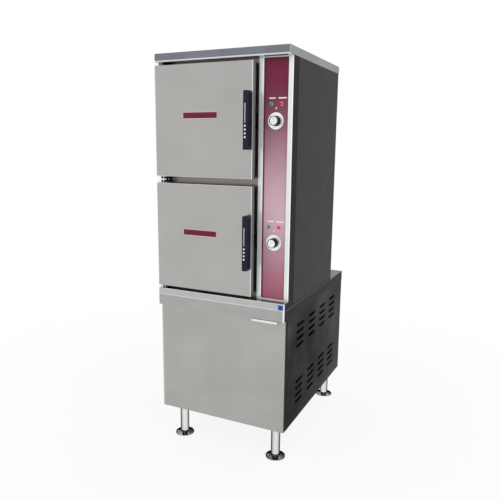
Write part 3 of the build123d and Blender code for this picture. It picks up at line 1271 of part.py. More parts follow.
def build():
    """Write every node."""
    os.makedirs("parts", exist_ok=True)
    write("top_cover", top_cover())
    write("compartment_front", compartment_front())
    write("column_frame", column_frame())
    write("control_panel", control_panel())
    write("side_panels", *[side_panel(side) for side in (-1, 1)])
    write("rear_panel", rear_panel())
    write("front_ledge", front_ledge())
    write("compartment_insulation", *[insulation(middle) for middle in DOOR_MIDDLES])
    write("compartment_shelves", compartment_shelves())
    write("pan_guides", *[wire for z in DOOR_MIDDLES for side in (-1, 1) for wire in pan_guide(z, side)])
    write("hinge_brackets", *hinge_brackets())
    write("latch_strikes", *[latch_strike(middle) for middle in DOOR_MIDDLES])
    write("timers", *[timer(middle) for middle in DOOR_MIDDLES])
    write("indicator_lamps", *[lamp(x, z + LAMP_RISE) for z in DOOR_MIDDLES for x in lamp_places()])
    write("steam_pipes", *steam_pipes())
    write("steam_valves", *[steam_valve(middle) for middle in DOOR_MIDDLES])
    write("drain_pipe", drain_pipe())
    levels = {"lower": (LOWER_DOOR_Z, DOOR_MIDDLES[0]), "upper": (UPPER_DOOR_Z, DOOR_MIDDLES[1])}
    for level, (bottom, middle) in levels.items():
        write(level + "_compartment", compartment(middle))
        write(level + "_door_skin", door_skin(bottom))
        write(level + "_door_inner_panel", door_inner_panel(bottom))
        write(level + "_door_insulation", door_insulation(bottom))
        write(level + "_door_gasket", door_gasket(bottom))
        write(level + "_handle_grip", handle_grip(middle))
        write(level + "_latch_lever", latch_lever(middle))
        write(level + "_dial", dial(middle))
        write(level + "_knob", *knob(middle))
        write(level + "_timer_shaft", timer_shaft(middle))
    write("base_deck", base_deck())
    write("base_side_panels", *[base_side_panel(side) for side in (-1, 1)])
    write("base_rear_panel", base_rear_panel())
    write("base_floor", base_floor())
    write("base_frame", *base_frame())
    write("leg_tubes", *[leg_tube(x, y) for x, y in leg_places()])
    write("feet", *[foot(x, y) for x, y in leg_places()])
    write("base_door_skin", base_door_skin())
    write("base_door_pull", base_door_pull())
    write("base_door_hinges", *base_door_hinges())
    write("base_door_catch", base_door_catch())
    write("boiler_shell", boiler_shell())
    write("heating_elements", heating_elements())
    write("safety_valve", safety_valve())
    write("safety_valve_lever", safety_valve_lever())
    write("drain_valve", drain_valve())
    write("drain_valve_lever", drain_valve_lever())
    write("fill_valves", *[fill_valve(x) for x in FILL_XS])
    write("water_pipes", *water_pipes())
    write("control_box", control_box())
    write("contactors", *[contactor(number) for number in range(2)])
    write("power_switch", power_switch())
    write("cable_gland", cable_gland())


build()
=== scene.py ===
"""A convection steamer with two cooking compartments on a cabinet base, dressed for rendering.

Lengths are millimetres on the maker's drawing until a mesh is written: x runs to the right from
the machine's middle, y runs back from the doors' front face, and z runs up from the floor.
"""

import logging
import math
from dataclasses import dataclass
from enum import Enum
from enum import StrEnum

import bmesh
import bpy
from mathutils import Matrix
from mathutils import Vector


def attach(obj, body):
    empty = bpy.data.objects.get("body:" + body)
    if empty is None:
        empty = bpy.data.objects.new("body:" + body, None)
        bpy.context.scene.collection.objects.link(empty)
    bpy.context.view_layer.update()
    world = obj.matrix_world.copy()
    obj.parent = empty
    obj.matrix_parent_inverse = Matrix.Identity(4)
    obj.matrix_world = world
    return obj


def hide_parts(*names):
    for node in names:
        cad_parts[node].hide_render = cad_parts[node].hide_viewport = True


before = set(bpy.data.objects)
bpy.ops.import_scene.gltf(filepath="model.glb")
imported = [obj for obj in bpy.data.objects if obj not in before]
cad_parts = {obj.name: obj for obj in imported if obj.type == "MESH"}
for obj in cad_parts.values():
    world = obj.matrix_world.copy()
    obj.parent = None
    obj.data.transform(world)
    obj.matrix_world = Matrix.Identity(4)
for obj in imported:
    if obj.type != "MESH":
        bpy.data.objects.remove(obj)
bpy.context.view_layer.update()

log = logging.getLogger("steamer")

Triple = tuple[float, float, float]
Span = tuple[float, float]
Tree = bpy.types.NodeTree
Socket = bpy.types.NodeSocket

# The drawing's y of the frame's origin.
MIDDLE_DEPTH = 414.0
DRAWING_TO_FRAME = Matrix.Scale(0.001, 4) @ Matrix.Translation((0, -MIDDLE_DEPTH, 0))
RIGHT, FRONT, BACK, UP = (1, 0, 0), (0, -1, 0), (0, 1, 0), (0, 0, 1)
# How squarely a face has to look one way to begin to count, and to count in full.
LOOK_START, LOOK_FULL = 0.6, 0.8
# How far a gloss has turned from the eye where its painted dark reflection begins, and where it is full.
TURN_START, TURN_FULL = 0.12, 0.6
# How much of the colour below a line covers.
LINE_COVER = 0.92
# How far the marks swing the roughness: a share of it, and never more than the second number.
SWING_SHARE, SWING_MOST = 0.25, 0.08
BUMP_STRENGTH = 0.5
# Faces that meet at a wider angle than this keep a sharp edge between them.
SHARP_ANGLE = math.radians(38)
SCREW_SIZES = {"Radius": 0.0042, "Height": 0.0024}
# How thick a print lies on its sheet, and how far its edge is rounded.
PRINT_THICK, PRINT_EDGE = 0.15, 0.05


def linear(colour: str) -> tuple[float, float, float, float]:
    """Turn an sRGB hex colour into linear light.

    Args:
        colour: six hex digits after a hash.

    Returns:
        Red, green, blue and an alpha of one.
    """
    parts = [int(colour[start:start + 2], 16) / 255 for start in (1, 3, 5)]
    light = [part / 12.92 if part <= 0.04045 else ((part + 0.055) / 1.055) ** 2.4 for part in parts]
    return (*light, 1.0)


def add(tree: Tree, kind: str, settings: dict | None = None, links: dict | None = None,
        **traits: object) -> bpy.types.Node:
    """Add one node to a tree.

    Args:
        tree: the shader or geometry tree.
        kind: the node's type.
        settings: values for its inputs, by name or number.
        links: output sockets that feed its inputs, by name or number.
        traits: the node's own properties.

    Returns:
        The new node.
    """
    made = tree.nodes.new(kind)
    for trait, value in traits.items():
        setattr(made, trait, value)
    for socket, value in (settings or {}).items():
        made.inputs[socket].default_value = value
    for socket, source in (links or {}).items():
        tree.links.new(source, made.inputs[socket])
    return made


def empty_tree(owner: bpy.types.Material | bpy.types.World) -> Tree:
    """Give a material or a world a tree without nodes.

    Args:
        owner: the material or world.

    Returns:
        Its tree.
    """
    owner.use_nodes = True
    owner.node_tree.nodes.clear()
    return owner.node_tree


class Grain(Enum):
    """How a surface was worked: how close its marks lie along x, y and z, low where they run on."""

    ACROSS = (0.03, 1.0, 1.0)
    UPRIGHT = (1.0, 1.0, 0.03)
    EVEN = (1.0, 1.0, 1.0)


class Axis(StrEnum):
    """An axis of the drawing."""

    X = "X"
    Z = "Z"


class Level(StrEnum):
    """Which of the two compartments a piece belongs to."""

    UPPER = "upper"
    LOWER = "lower"


@dataclass(frozen=True)
class Line:
    """A lighter or darker line along a folded edge or a joint: most are painted highlights and painted
    shade.

    Attributes:
        colour: its tone.
        axis: the axis across it.
        place: where its middle lies on that axis.
        half: half of its width.
        facing: the way a face must look to show it, or None for every face.
    """

    colour: str
    axis: Axis
    place: float
    half: float
    facing: Triple | None = None


@dataclass(frozen=True)
class Finish:
    """A surface finish, as one procedural material.

    Attributes:
        name: the material's name.
        colour: its plain colour.
        metallic: 1 for bare metal.
        roughness: its middle roughness.
        ior: the index of refraction where it isn't bare metal.
        gloss: the strength of its own reflection, half being plain.
        edge: the tint of what it mirrors at a low angle.
        side: the colour painted on faces that look left or right, as a painted reflection.
        fade: heights with the colour at each, in place of the plain colour, where a painted reflection
            pales it.
        lines: painted highlights and painted shade along edges and joints, and bands of a part's own tone.
        turned_away: a painted reflection, the dark tone of a mirror gloss where it curves away from the
            eye.
        grain: how its finest marks run.
        spacing: the distance between those marks.
        contrast: how much lighter and darker the marks are.
        relief: how deep the marks are.
        cloud: how much broad cloudiness varies the tone.
        cloud_size: how broad it is.
        glow: how strongly a lens lights up.
    """

    name: str
    colour: str
    metallic: float = 0.0
    roughness: float = 0.4
    ior: float = 1.5
    gloss: float = 0.5
    edge: str = "#FFFFFF"
    side: str = ""
    fade: tuple[tuple[float, str], ...] = ()
    lines: tuple[Line, ...] = ()
    turned_away: str = ""
    grain: Grain = Grain.EVEN
    spacing: float = 3.0
    contrast: float = 0.05
    relief: float = 0.01
    cloud: float = 0.04
    cloud_size: float = 90.0
    glow: float = 0.0

    def material(self) -> bpy.types.Material:
        """Build the material once and hand the same one out after that.

        Returns:
            The material.
        """
        made = bpy.data.materials.get(self.name)
        if made is not None:
            return made
        made = bpy.data.materials.new(self.name)
        tree = empty_tree(made)
        spots = add(tree, "ShaderNodeTexCoord")
        place = add(tree, "ShaderNodeVectorMath", {1: (1000.0,) * 3, 2: (0.0, MIDDLE_DEPTH, 0.0)},
                    {0: spots.outputs["Object"]}, operation="MULTIPLY_ADD").outputs[0]
        marks = self._marks(tree, place)
        colour = self._shade(tree, place, self._tones(tree, place, spots.outputs["Normal"]), marks)
        swing = min(SWING_MOST, self.roughness * SWING_SHARE)
        rough = add(tree, "ShaderNodeMapRange", {3: self.roughness - swing, 4: self.roughness + swing},
                    {0: marks})
        bump = add(tree, "ShaderNodeBump", {"Strength": BUMP_STRENGTH, "Distance": self.relief / 1000},
                   {"Height": marks})
        values = {"Metallic": self.metallic, "Specular IOR Level": self.gloss,
                  "Specular Tint": linear(self.edge), "Emission Strength": self.glow}
        if self.metallic < 1:
            values["IOR"] = self.ior
        if self.glow:
            values["Emission Color"] = linear(self.colour)
        shader = add(tree, "ShaderNodeBsdfPrincipled", values,
                     {"Base Color": colour, "Roughness": rough.outputs[0], "Normal": bump.outputs[0]})
        add(tree, "ShaderNodeOutputMaterial", links={0: shader.outputs[0]})
        return made

    def _tones(self, tree: Tree, place: Socket, normal: Socket) -> Socket:
        """Lay down the colour, its fade, its lines and its painted side and turned-away reflections.

        Args:
            tree: the material's tree.
            place: the place on the drawing.
            normal: the faces' normal.

        Returns:
            The colour without marks or clouds.
        """
        parts = add(tree, "ShaderNodeSeparateXYZ", links={0: place})
        if self.fade:
            colour = self._lay_fade(tree, parts.outputs["Z"])
        else:
            plain = add(tree, "ShaderNodeRGB")
            plain.outputs[0].default_value = linear(self.colour)
            colour = plain.outputs[0]
        # Painted reflection: faces that look left or right take the side colour.
        if self.side:
            looks = [self._facing(tree, normal, (side, 0, 0)) for side in (-1, 1)]
            either = add(tree, "ShaderNodeMath", links={0: looks[0], 1: looks[1]}, operation="ADD")
            colour = add(tree, "ShaderNodeMix", {7: linear(self.side)}, {0: either.outputs[0], 6: colour},
                         data_type="RGBA").outputs[2]
        # The lines: painted highlights and painted shade along edges and joints, and bands of own tone.
        for line in self.lines:
            colour = self._lay_line(tree, parts.outputs[line.axis], normal, colour, line)
        # Painted reflection: the colour darkens where the surface curves away from the eye.
        if self.turned_away:
            weight = add(tree, "ShaderNodeLayerWeight", {"Blend": 0.5})
            share = add(tree, "ShaderNodeMapRange", {1: TURN_START, 2: TURN_FULL},
                        {0: weight.outputs["Facing"]})
            colour = add(tree, "ShaderNodeMix", {7: linear(self.turned_away)},
                         {0: share.outputs[0], 6: colour}, data_type="RGBA").outputs[2]
        return colour

    def _facing(self, tree: Tree, normal: Socket, facing: Triple) -> Socket:
        """Tell the faces that look one way from the others.

        Args:
            tree: the material's tree.
            normal: the faces' normal.
            facing: the way to look for.

        Returns:
            One on faces that look that way and nought on the others.
        """
        look = add(tree, "ShaderNodeVectorMath", {1: facing}, {0: normal}, operation="DOT_PRODUCT")
        return add(tree, "ShaderNodeMapRange", {1: LOOK_START, 2: LOOK_FULL},
                   {0: look.outputs["Value"]}).outputs[0]

    def _lay_fade(self, tree: Tree, height: Socket) -> Socket:
        """Fade the colour from one height to the next.

        Args:
            tree: the material's tree.
            height: the height on the drawing.

        Returns:
            The colour at each height.
        """
        low, high = self.fade[0][0], self.fade[-1][0]
        share = add(tree, "ShaderNodeMapRange", {1: low, 2: high}, {0: height})
        tones = add(tree, "ShaderNodeValToRGB", links={0: share.outputs[0]})
        tones.color_ramp.interpolation = "EASE"
        elements = tones.color_ramp.elements
        while len(elements) > 1:
            elements.remove(elements[-1])
        for number, (spot, colour) in enumerate(self.fade):
            where = (spot - low) / (high - low)
            element = elements[0] if number == 0 else elements.new(where)
            element.position = where
            element.color = linear(colour)
        return tones.outputs[0]

    def _lay_line(self, tree: Tree, across: Socket, normal: Socket, below: Socket, line: Line) -> Socket:
        """Lay one line over the colour below, fading out to its edges.

        Args:
            tree: the material's tree.
            across: the place on the axis across the line.
            normal: the faces' normal.
            below: the colour below.
            line: the line.

        Returns:
            The colour with the line on it.
        """
        offset = add(tree, "ShaderNodeMath", {1: line.place}, {0: across}, operation="SUBTRACT")
        reach = add(tree, "ShaderNodeMath", links={0: offset.outputs[0]}, operation="ABSOLUTE")
        mask = add(tree, "ShaderNodeMapRange", {1: line.half / 2, 2: line.half, 3: LINE_COVER, 4: 0.0},
                   {0: reach.outputs[0]}, interpolation_type="SMOOTHSTEP").outputs[0]
        if line.facing is not None:
            look = self._facing(tree, normal, line.facing)
            mask = add(tree, "ShaderNodeMath", links={0: mask, 1: look}, operation="MULTIPLY").outputs[0]
        return add(tree, "ShaderNodeMix", {7: linear(line.colour)}, {0: mask, 6: below},
                   data_type="RGBA").outputs[2]

    def _marks(self, tree: Tree, place: Socket) -> Socket:
        """Draw the finest marks, drawn out along the grain.

        Args:
            tree: the material's tree.
            place: the place on the drawing.

        Returns:
            A value from nought to one.
        """
        drawn = add(tree, "ShaderNodeVectorMath", {1: self.grain.value}, {0: place}, operation="MULTIPLY")
        noise = add(tree, "ShaderNodeTexNoise",
                    {"Scale": 1 / self.spacing, "Detail": 4.0, "Roughness": 0.65},
                    {"Vector": drawn.outputs[0]})
        return noise.outputs["Fac"]

    def _shade(self, tree: Tree, place: Socket, colour: Socket, marks: Socket) -> Socket:
        """Lighten and darken the colour with the marks and with broad clouds.

        Args:
            tree: the material's tree.
            place: the place on the drawing.
            colour: the colour so far.
            marks: the finest marks.

        Returns:
            The finished colour.
        """
        clouds = add(tree, "ShaderNodeTexNoise", {"Scale": 1 / self.cloud_size, "Detail": 3.0},
                     {"Vector": place})
        fine = add(tree, "ShaderNodeMapRange", {3: 1 - self.contrast, 4: 1 + self.contrast}, {0: marks})
        broad = add(tree, "ShaderNodeMapRange", {1: 0.3, 2: 0.7, 3: 1 - self.cloud, 4: 1 + self.cloud},
                    {0: clouds.outputs["Fac"]})
        gain = add(tree, "ShaderNodeMath", links={0: fine.outputs[0], 1: broad.outputs[0]},
                   operation="MULTIPLY")
        return add(tree, "ShaderNodeVectorMath", links={0: colour, "Scale": gain.outputs[0]},
                   operation="SCALE").outputs[0]


@dataclass(frozen=True)
class Metal(Finish):
    """A finish of bare metal."""

    metallic: float = 1.0


# Stainless sheet brushed level, No. 4 finish: soft and faintly streaked, with painted highlights along
# its folded edges and its sideways faces painted a little darker as a painted reflection.
# Real grit lines lie 0.1 mm apart and are drawn 4 mm apart to show.
DOOR_STEEL = Metal(
    "stainless_brushed_door", "#AFADAB", roughness=0.3, grain=Grain.ACROSS, spacing=4.0,
    contrast=0.035, cloud=0.05, cloud_size=240.0, edge="#B8B8B8", side="#A09C9B",
    lines=(
        Line("#E2E6E4", Axis.Z, 1212, 2.4, FRONT),
        Line("#E2E6E4", Axis.Z, 1240.5, 2.2, FRONT),
        Line("#F6F6F6", Axis.X, 151, 2.6, FRONT),
    ),
)
# Stainless top cover, folded and polished: darker than the brushed doors, its sides painted lighter as a
# painted reflection, and a painted highlight along its hem.
COVER_STEEL = Metal(
    "stainless_polished_cover", "#7A7C84", roughness=0.2, grain=Grain.ACROSS, spacing=5.0,
    contrast=0.03, cloud=0.12, cloud_size=160.0, edge="#D8D8D8", side="#989A96",
    lines=(Line("#E4E8EA", Axis.Z, 1715, 3.0, FRONT),),
)
# Cold rolled stainless, satin and unbrushed: flat dark grey with the faint mottle of the mill roll,
# and a dark line at its foot: the joint, with painted shade in it.
SIDE_STEEL = Metal(
    "stainless_rolled_side", "#494949", roughness=0.42, spacing=26.0, contrast=0.06, cloud=0.06,
    relief=0.02, edge="#C4C4C4", lines=(Line("#0E0E0E", Axis.Z, 713, 4.5),),
)
# Column trim of satin anodised aluminium: pale and even in front, its returns painted dark as a painted
# reflection, and painted highlights down its two outer edges.
COLUMN_TRIM = Finish(
    "aluminium_satin_trim", "#E2E8E6", metallic=0.5, roughness=0.3, grain=Grain.UPRIGHT, spacing=4.0,
    contrast=0.03, gloss=0.0, edge="#B0B0B0", side="#3E3A3C",
    lines=(
        Line("#FFFFFF", Axis.X, 179.4, 2.4, FRONT),
        Line("#FFFFFF", Axis.X, 302.4, 2.6, FRONT),
    ),
)
# Panel of burgundy baked enamel: deep at its top, paling to a dusty pink above the lower knob in a
# painted reflection, with painted shade along its left margin.
PANEL_ENAMEL = Finish(
    "enamel_burgundy_panel", "#701F3D", roughness=0.3, spacing=2.5, contrast=0.03, cloud=0.03, gloss=0.2,
    fade=((750, "#A46070"), (1090, "#CCAAB2"), (1640, "#701F3D")),
    lines=(Line("#5A0F3A", Axis.X, 182.6, 4.6),),
)
# Ledge under the doors, brushed level like them, with painted highlights along its two front edges and
# its end, and its sideways faces painted dark as a painted reflection.
LEDGE_STEEL = Metal(
    "stainless_brushed_ledge", "#B8B8B6", roughness=0.28, grain=Grain.ACROSS, spacing=3.0,
    contrast=0.06, edge="#B8B8B8", side="#3A3B3A",
    lines=(
        Line("#D5DBD8", Axis.Z, 713, 2.2, FRONT),
        Line("#E2E8E6", Axis.Z, 741, 2.4, FRONT),
        Line("#F0F2F1", Axis.X, 303, 4.0, FRONT),
    ),
)
# Deck of the base, brushed level in front, its sides painted dark as a painted reflection, and painted
# highlights on its right corner and on the upper edge of its right side.
DECK_STEEL = Metal(
    "stainless_brushed_deck", "#A9A8A7", roughness=0.26, grain=Grain.ACROSS, spacing=3.0,
    contrast=0.06, edge="#B1B1B1", side="#464544",
    lines=(
        Line("#F4F6F5", Axis.X, 302, 6.0, FRONT),
        Line("#8F918F", Axis.Z, 711, 2.4, RIGHT),
    ),
)
# Base door, brushed level, with broad soft clouds where it was wiped down, a painted highlight down its
# left edge, and its sideways faces painted dark as a painted reflection.
BASE_DOOR_STEEL = Metal(
    "stainless_brushed_base_door", "#ABABA8", roughness=0.3, grain=Grain.ACROSS, spacing=4.0,
    contrast=0.04, cloud=0.06, cloud_size=220.0, edge="#B8B8B8", side="#3B3C39",
    lines=(Line("#C0C1BF", Axis.X, -301, 5.0, FRONT),),
)
# Base side, bright rolled stainless, left unbrushed: dark, with broad strong clouds as painted reflection
# on the waves of the thin sheet. Its hoods are painted darker still, as a painted reflection.
BASE_SIDE_STEEL = Metal(
    "stainless_bright_base_side", "#4A4947", roughness=0.16, spacing=40.0, contrast=0.08, cloud=0.45,
    cloud_size=230.0, relief=0.03, edge="#B1B1B1",
    lines=(Line("#1C1A18", Axis.X, 307, 3.2), Line("#1C1A18", Axis.X, -307, 3.2)),
)
# Drawn stainless liner of the compartments: smooth, bright and even, dulled a little by steam.
LINER_STEEL = Metal("stainless_drawn_liner", "#B7B8B7", roughness=0.24, grain=Grain.UPRIGHT)
# Frame plate behind the doors, mill finish: a warm brown grey.
FRAME_STEEL = Metal("stainless_mill_frame_plate", "#8E8680", roughness=0.34, grain=Grain.UPRIGHT)
# Small stainless trim, brushed along its length and pale.
TRIM_STEEL = Metal("stainless_bright_trim", "#CDD0CE", roughness=0.28, grain=Grain.ACROSS, contrast=0.04)
# Bent finger pull, brushed, with a painted highlight along the middle of its face.
PULL_STEEL = Metal(
    "stainless_brushed_pull", "#A9ADAB", roughness=0.3, grain=Grain.ACROSS,
    lines=(Line("#EAF0ED", Axis.Z, 656.5, 5.5, FRONT),),
)
# Stainless wire, screws and machined parts: bright, smooth and even.
WIRE_STEEL = Metal("stainless_drawn_wire", "#C4C5C4", roughness=0.18, spacing=2.0, contrast=0.04)
# Machined hinge bracket: its ground end and its collar are bright; the rest is painted near black as
# the shade between the door and the frame.
BRACKET_STEEL = Metal(
    "steel_machined_bracket", "#161412", roughness=0.25, spacing=2.0, contrast=0.06,
    lines=(Line("#F6F7F7", Axis.X, -295.5, 11.0), Line("#D9D6D2", Axis.X, -275.7, 2.4)),
)
# Black machined latch and strike, oiled: dull, with a trace of metal; their near black is also painted
# shade of the gap they sit in.
HINGE_STEEL = Metal("steel_blackened_hinge", "#1E1C1B", roughness=0.35, spacing=2.0, contrast=0.08)
# Zinc plated steel sheet: pale, slightly blue, with broad soft clouds from the bath.
ZINC = Metal("steel_zinc_plated", "#A9ADB0", roughness=0.38, spacing=12.0, contrast=0.08, cloud=0.08)
# Painted shadow under each louvre's lip: a dull black strip laid on the base's side sheet.
LOUVRE_SHADOW = Finish("painted_louvre_shadow", "#070706", roughness=0.8, spacing=4.0, contrast=0.1, gloss=0.0)
# Glass filled nylon, moulded navy black. Its sparked texture of 0.5 mm is drawn at 0.8 mm to show.
GRIP_NYLON = Finish("nylon_moulded_navy", "#0D1528", roughness=0.36, ior=1.53, spacing=0.8, contrast=0.1,
                    relief=0.04, cloud=0.06, gloss=0.2)
# Phenolic timer knob and power switch, moulded glossy and near black.
KNOB_PHENOLIC = Finish("phenolic_moulded_black", "#070B24", roughness=0.3, ior=1.6, spacing=1.2,
                       contrast=0.06, gloss=0.08)
# Knob cap of spun aluminium, lacquered: almost white, with turned rings.
CAP_ALUMINIUM = Metal("aluminium_spun_cap", "#E9ECEE", roughness=0.2, spacing=1.2, contrast=0.06)
# Dial of pale anodised aluminium, nearly white.
DIAL_ALUMINIUM = Finish("aluminium_pale_dial", "#FDFEFF", metallic=0.75, roughness=0.3, spacing=2.0,
                        contrast=0.01, cloud=0.01)
# Grey screen ink on the dial and knob cap, pale ink on the panel and grip: thin, matt and even.
DIAL_INK = Finish("ink_grey_print", "#A4A8B2", roughness=0.6, spacing=1.0, contrast=0.03)
PALE_INK = Finish("ink_pale_print", "#EFE3E6", roughness=0.55, spacing=1.0, contrast=0.03)
# Clear coloured acrylic lenses over small neon lamps: saturated, wet looking, faintly lit.
GREEN_LENS = Finish("acrylic_green_lens", "#0B9A52", roughness=0.08, ior=1.49, spacing=2.0, gloss=0.3,
                    glow=0.1)
RED_LENS = Finish("acrylic_red_lens", "#F01525", roughness=0.08, ior=1.49, spacing=2.0, gloss=0.3,
                  glow=0.1)
# Bright chrome on the lamps' bezels, and as bright on the cover's ground and buffed corner welds.
CHROME = Metal("chrome_plated_bezel", "#D9DCDD", roughness=0.08, spacing=2.0, contrast=0.04)
# Chromed leg tubes and feet: mirror bright, with a painted dark reflection where they curve away.
LEG_CHROME = Metal("chrome_polished_leg", "#E6E8E6", roughness=0.09, grain=Grain.UPRIGHT,
                   edge="#202020", turned_away="#3C403E")
FOOT_CHROME = Metal("chrome_polished_foot", "#D2D4D2", roughness=0.1, edge="#202020",
                    turned_away="#484C4A")
# Extruded silicone seal: matt black, a little dusty.
SEAL_SILICONE = Finish("silicone_black_seal", "#26272A", roughness=0.62, ior=1.42, spacing=1.5,
                       contrast=0.12, relief=0.05)
# Mineral wool: pale yellow grey, deep tangled fibre.
MINERAL_WOOL = Finish("mineral_wool", "#B9AD8A", roughness=0.95, spacing=1.6, contrast=0.3, relief=0.8,
                      cloud=0.12)
# Cast and turned brass, unlacquered: warm, with darker spots.
BRASS = Metal("brass_turned", "#B48A4A", roughness=0.28, spacing=4.0, contrast=0.1, cloud=0.1)
# Half-hard copper tube, handled: rosy brown with darker clouds.
COPPER = Metal("copper_drawn_tube", "#B06A4A", roughness=0.3, grain=Grain.UPRIGHT, contrast=0.08,
               cloud=0.14)
# Black iron pipe and boiler plate: dark, dry mill scale.
PIPE_STEEL = Metal("steel_pipe_mill_scale", "#5B5A59", roughness=0.5, spacing=5.0, contrast=0.14,
                   cloud=0.12, relief=0.08)
# Grey ABS housings of timers, contactors and the gland: moulded, fine even texture.
GREY_ABS = Finish("abs_moulded_grey", "#8B8E92", roughness=0.5, spacing=1.0, contrast=0.06, relief=0.03)
# Enamelled badge field and its pale rim: glossy, even, without any lettering.
BADGE_ENAMEL = Finish("enamel_burgundy_badge", "#6C1D33", roughness=0.3, spacing=2.0, contrast=0.04,
                      gloss=0.15)
BADGE_RIM = Metal("aluminium_bright_rim", "#D8CFCB", roughness=0.2, spacing=2.0, contrast=0.04)
# Printed vinyl label, plain blue.
BLUE_VINYL = Finish("vinyl_blue_label", "#1F45A0", roughness=0.35, spacing=2.0, gloss=0.2)


def stand(name: str, data: bpy.types.ID) -> bpy.types.Object:
    """Put a mesh, text, lamp or camera into the scene.

    Args:
        name: the object's name.
        data: what it shows.

    Returns:
        The new object.
    """
    made = bpy.data.objects.new(name, data)
    bpy.context.scene.collection.objects.link(made)
    return made


def settle(holder: bpy.types.Object) -> bpy.types.Mesh:
    """Turn what an object shows into a plain mesh and remove the object.

    Args:
        holder: an object with text or with a pattern's modifier.

    Returns:
        The plain mesh.
    """
    bpy.context.view_layer.update()
    seen = holder.evaluated_get(bpy.context.evaluated_depsgraph_get())
    data = bpy.data.meshes.new_from_object(seen)
    holder.modifiers.clear()
    bpy.data.objects.remove(holder)
    return data


def mount(name: str, data: bpy.types.Mesh, body: str, finish: Finish) -> bpy.types.Object:
    """Put a mesh on the machine as a named piece.

    Args:
        name: the piece's name.
        data: its mesh, in the frame's metres.
        body: the body it rides on.
        finish: its surface.

    Returns:
        The new object.
    """
    data.shade_smooth()
    data.set_sharp_from_angle(angle=SHARP_ANGLE)
    data.materials.clear()
    data.materials.append(finish.material())
    made = stand(name, data)
    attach(made, body)
    log.info("%s rides on %s in %s", name, body, finish.name)
    return made


def dress(finish: Finish, *nodes: str) -> None:
    """Give carried-over nodes their surface.

    Args:
        finish: the surface.
        nodes: the nodes' names.
    """
    for name in nodes:
        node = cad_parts[name]
        for slot in node.material_slots:
            slot.material = finish.material()
        if not node.material_slots:
            node.data.materials.append(finish.material())
        log.info("%s is dressed in %s", name, finish.name)


def rounded(xs: Span, zs: Span, radius: float, steps: int = 5) -> list[Span]:
    """Outline a rectangle with rounded corners.

    Args:
        xs: its low and high x.
        zs: its low and high z.
        radius: the corners' radius.
        steps: the facets round each corner.

    Returns:
        The x and z of its points in order.
    """
    points = []
    for number, (x, z) in enumerate(((xs[1], zs[1]), (xs[0], zs[1]), (xs[0], zs[0]), (xs[1], zs[0]))):
        inward = ((-1, -1), (1, -1), (1, 1), (-1, 1))[number]
        for step in range(steps + 1):
            angle = math.radians(90 * number + 90 * step / steps)
            points.append((x + radius * (inward[0] + math.cos(angle)),
                           z + radius * (inward[1] + math.sin(angle))))
    return points


class Shape:
    """A mesh in the making, in the drawing's millimetres."""

    def __init__(self) -> None:
        """Start with nothing."""
        self.mesh = bmesh.new()

    def slab(self, xs: Span, ys: Span, zs: Span, rounding: float = 0.0, steps: int = 2) -> None:
        """Add a box with rounded edges.

        Args:
            xs: its low and high x.
            ys: its low and high y.
            zs: its low and high z.
            rounding: the edges' radius.
            steps: the facets across each edge.
        """
        made = bmesh.ops.create_cube(self.mesh, size=1.0)["verts"]
        for vert in made:
            vert.co = Vector([low + (part + 0.5) * (high - low)
                              for part, (low, high) in zip(vert.co, (xs, ys, zs))])
        if rounding:
            edges = list({edge for vert in made for edge in vert.link_edges})
            bmesh.ops.bevel(self.mesh, geom=edges, offset=rounding, segments=steps, affect="EDGES",
                            profile=0.5, clamp_overlap=True)

    def plate(self, outline: list[Span], front: float, back: float, rounding: float = 0.0) -> None:
        """Add an upright plate from its outline.

        Args:
            outline: x and z of its corners in order.
            front: the y of its face.
            back: the y of its back.
            rounding: the radius round its face.
        """
        loops = [[self.mesh.verts.new((x, y, z)) for x, z in outline] for y in (front, back)]
        face = self.mesh.faces.new(loops[0])
        self.mesh.faces.new(list(reversed(loops[1])))
        count = len(outline)
        for number in range(count):
            after = (number + 1) % count
            self.mesh.faces.new((loops[0][number], loops[1][number], loops[1][after], loops[0][after]))
        if rounding:
            bmesh.ops.bevel(self.mesh, geom=list(face.edges), offset=rounding, segments=2,
                            affect="EDGES", profile=0.5, clamp_overlap=True)

    def turned(self, profile: list[Span], middle: Triple, axis: Triple, steps: int = 48,
               flutes: tuple[int, float, int, int] | None = None) -> None:
        """Add a solid turned on a lathe.

        Args:
            profile: radius and distance along the axis, from one end to the other. The ends are
                closed where the radius isn't nought.
            middle: the point where the distance is nought.
            axis: the way along which the distance grows.
            steps: the facets round it.
            flutes: how many flutes, how deep, and the first and last profile point that has them.
        """
        turn = Vector(axis).to_track_quat("Z", "Y").to_matrix()
        rings = []
        for number, (radius, along) in enumerate(profile):
            ring = []
            for step in range(steps if radius > 0 else 1):
                angle = step * math.tau / steps
                reach = radius
                if flutes and flutes[2] <= number <= flutes[3]:
                    reach -= flutes[1] * (0.5 - 0.5 * math.cos(angle * flutes[0])) ** 2
                point = Vector((reach * math.cos(angle), reach * math.sin(angle), along))
                ring.append(self.mesh.verts.new(Vector(middle) + turn @ point))
            rings.append(ring)
        for low, high in zip(rings, rings[1:]):
            for step in range(steps):
                after = (step + 1) % steps
                corners = [low[step % len(low)], low[after % len(low)],
                           high[after % len(high)], high[step % len(high)]]
                self.mesh.faces.new(list(dict.fromkeys(corners)))
        for ring in (rings[0], rings[-1]):
            if len(ring) > 1:
                self.mesh.faces.new(ring)

    def piece(self, name: str, body: str, slot: str, finish: Finish) -> bpy.types.Object:
        """Turn the shape into a finished piece of the machine.

        Args:
            name: the piece's name.
            body: the body it rides on.
            slot: not used.
            finish: its surface.

        Returns:
            The new object.
        """
        bmesh.ops.remove_doubles(self.mesh, verts=self.mesh.verts, dist=0.0005)
        bmesh.ops.recalc_face_normals(self.mesh, faces=self.mesh.faces)
        data = bpy.data.meshes.new(name)
        self.mesh.to_mesh(data)
        self.mesh.free()
        data.transform(DRAWING_TO_FRAME)
        return mount(name, data, body, finish)


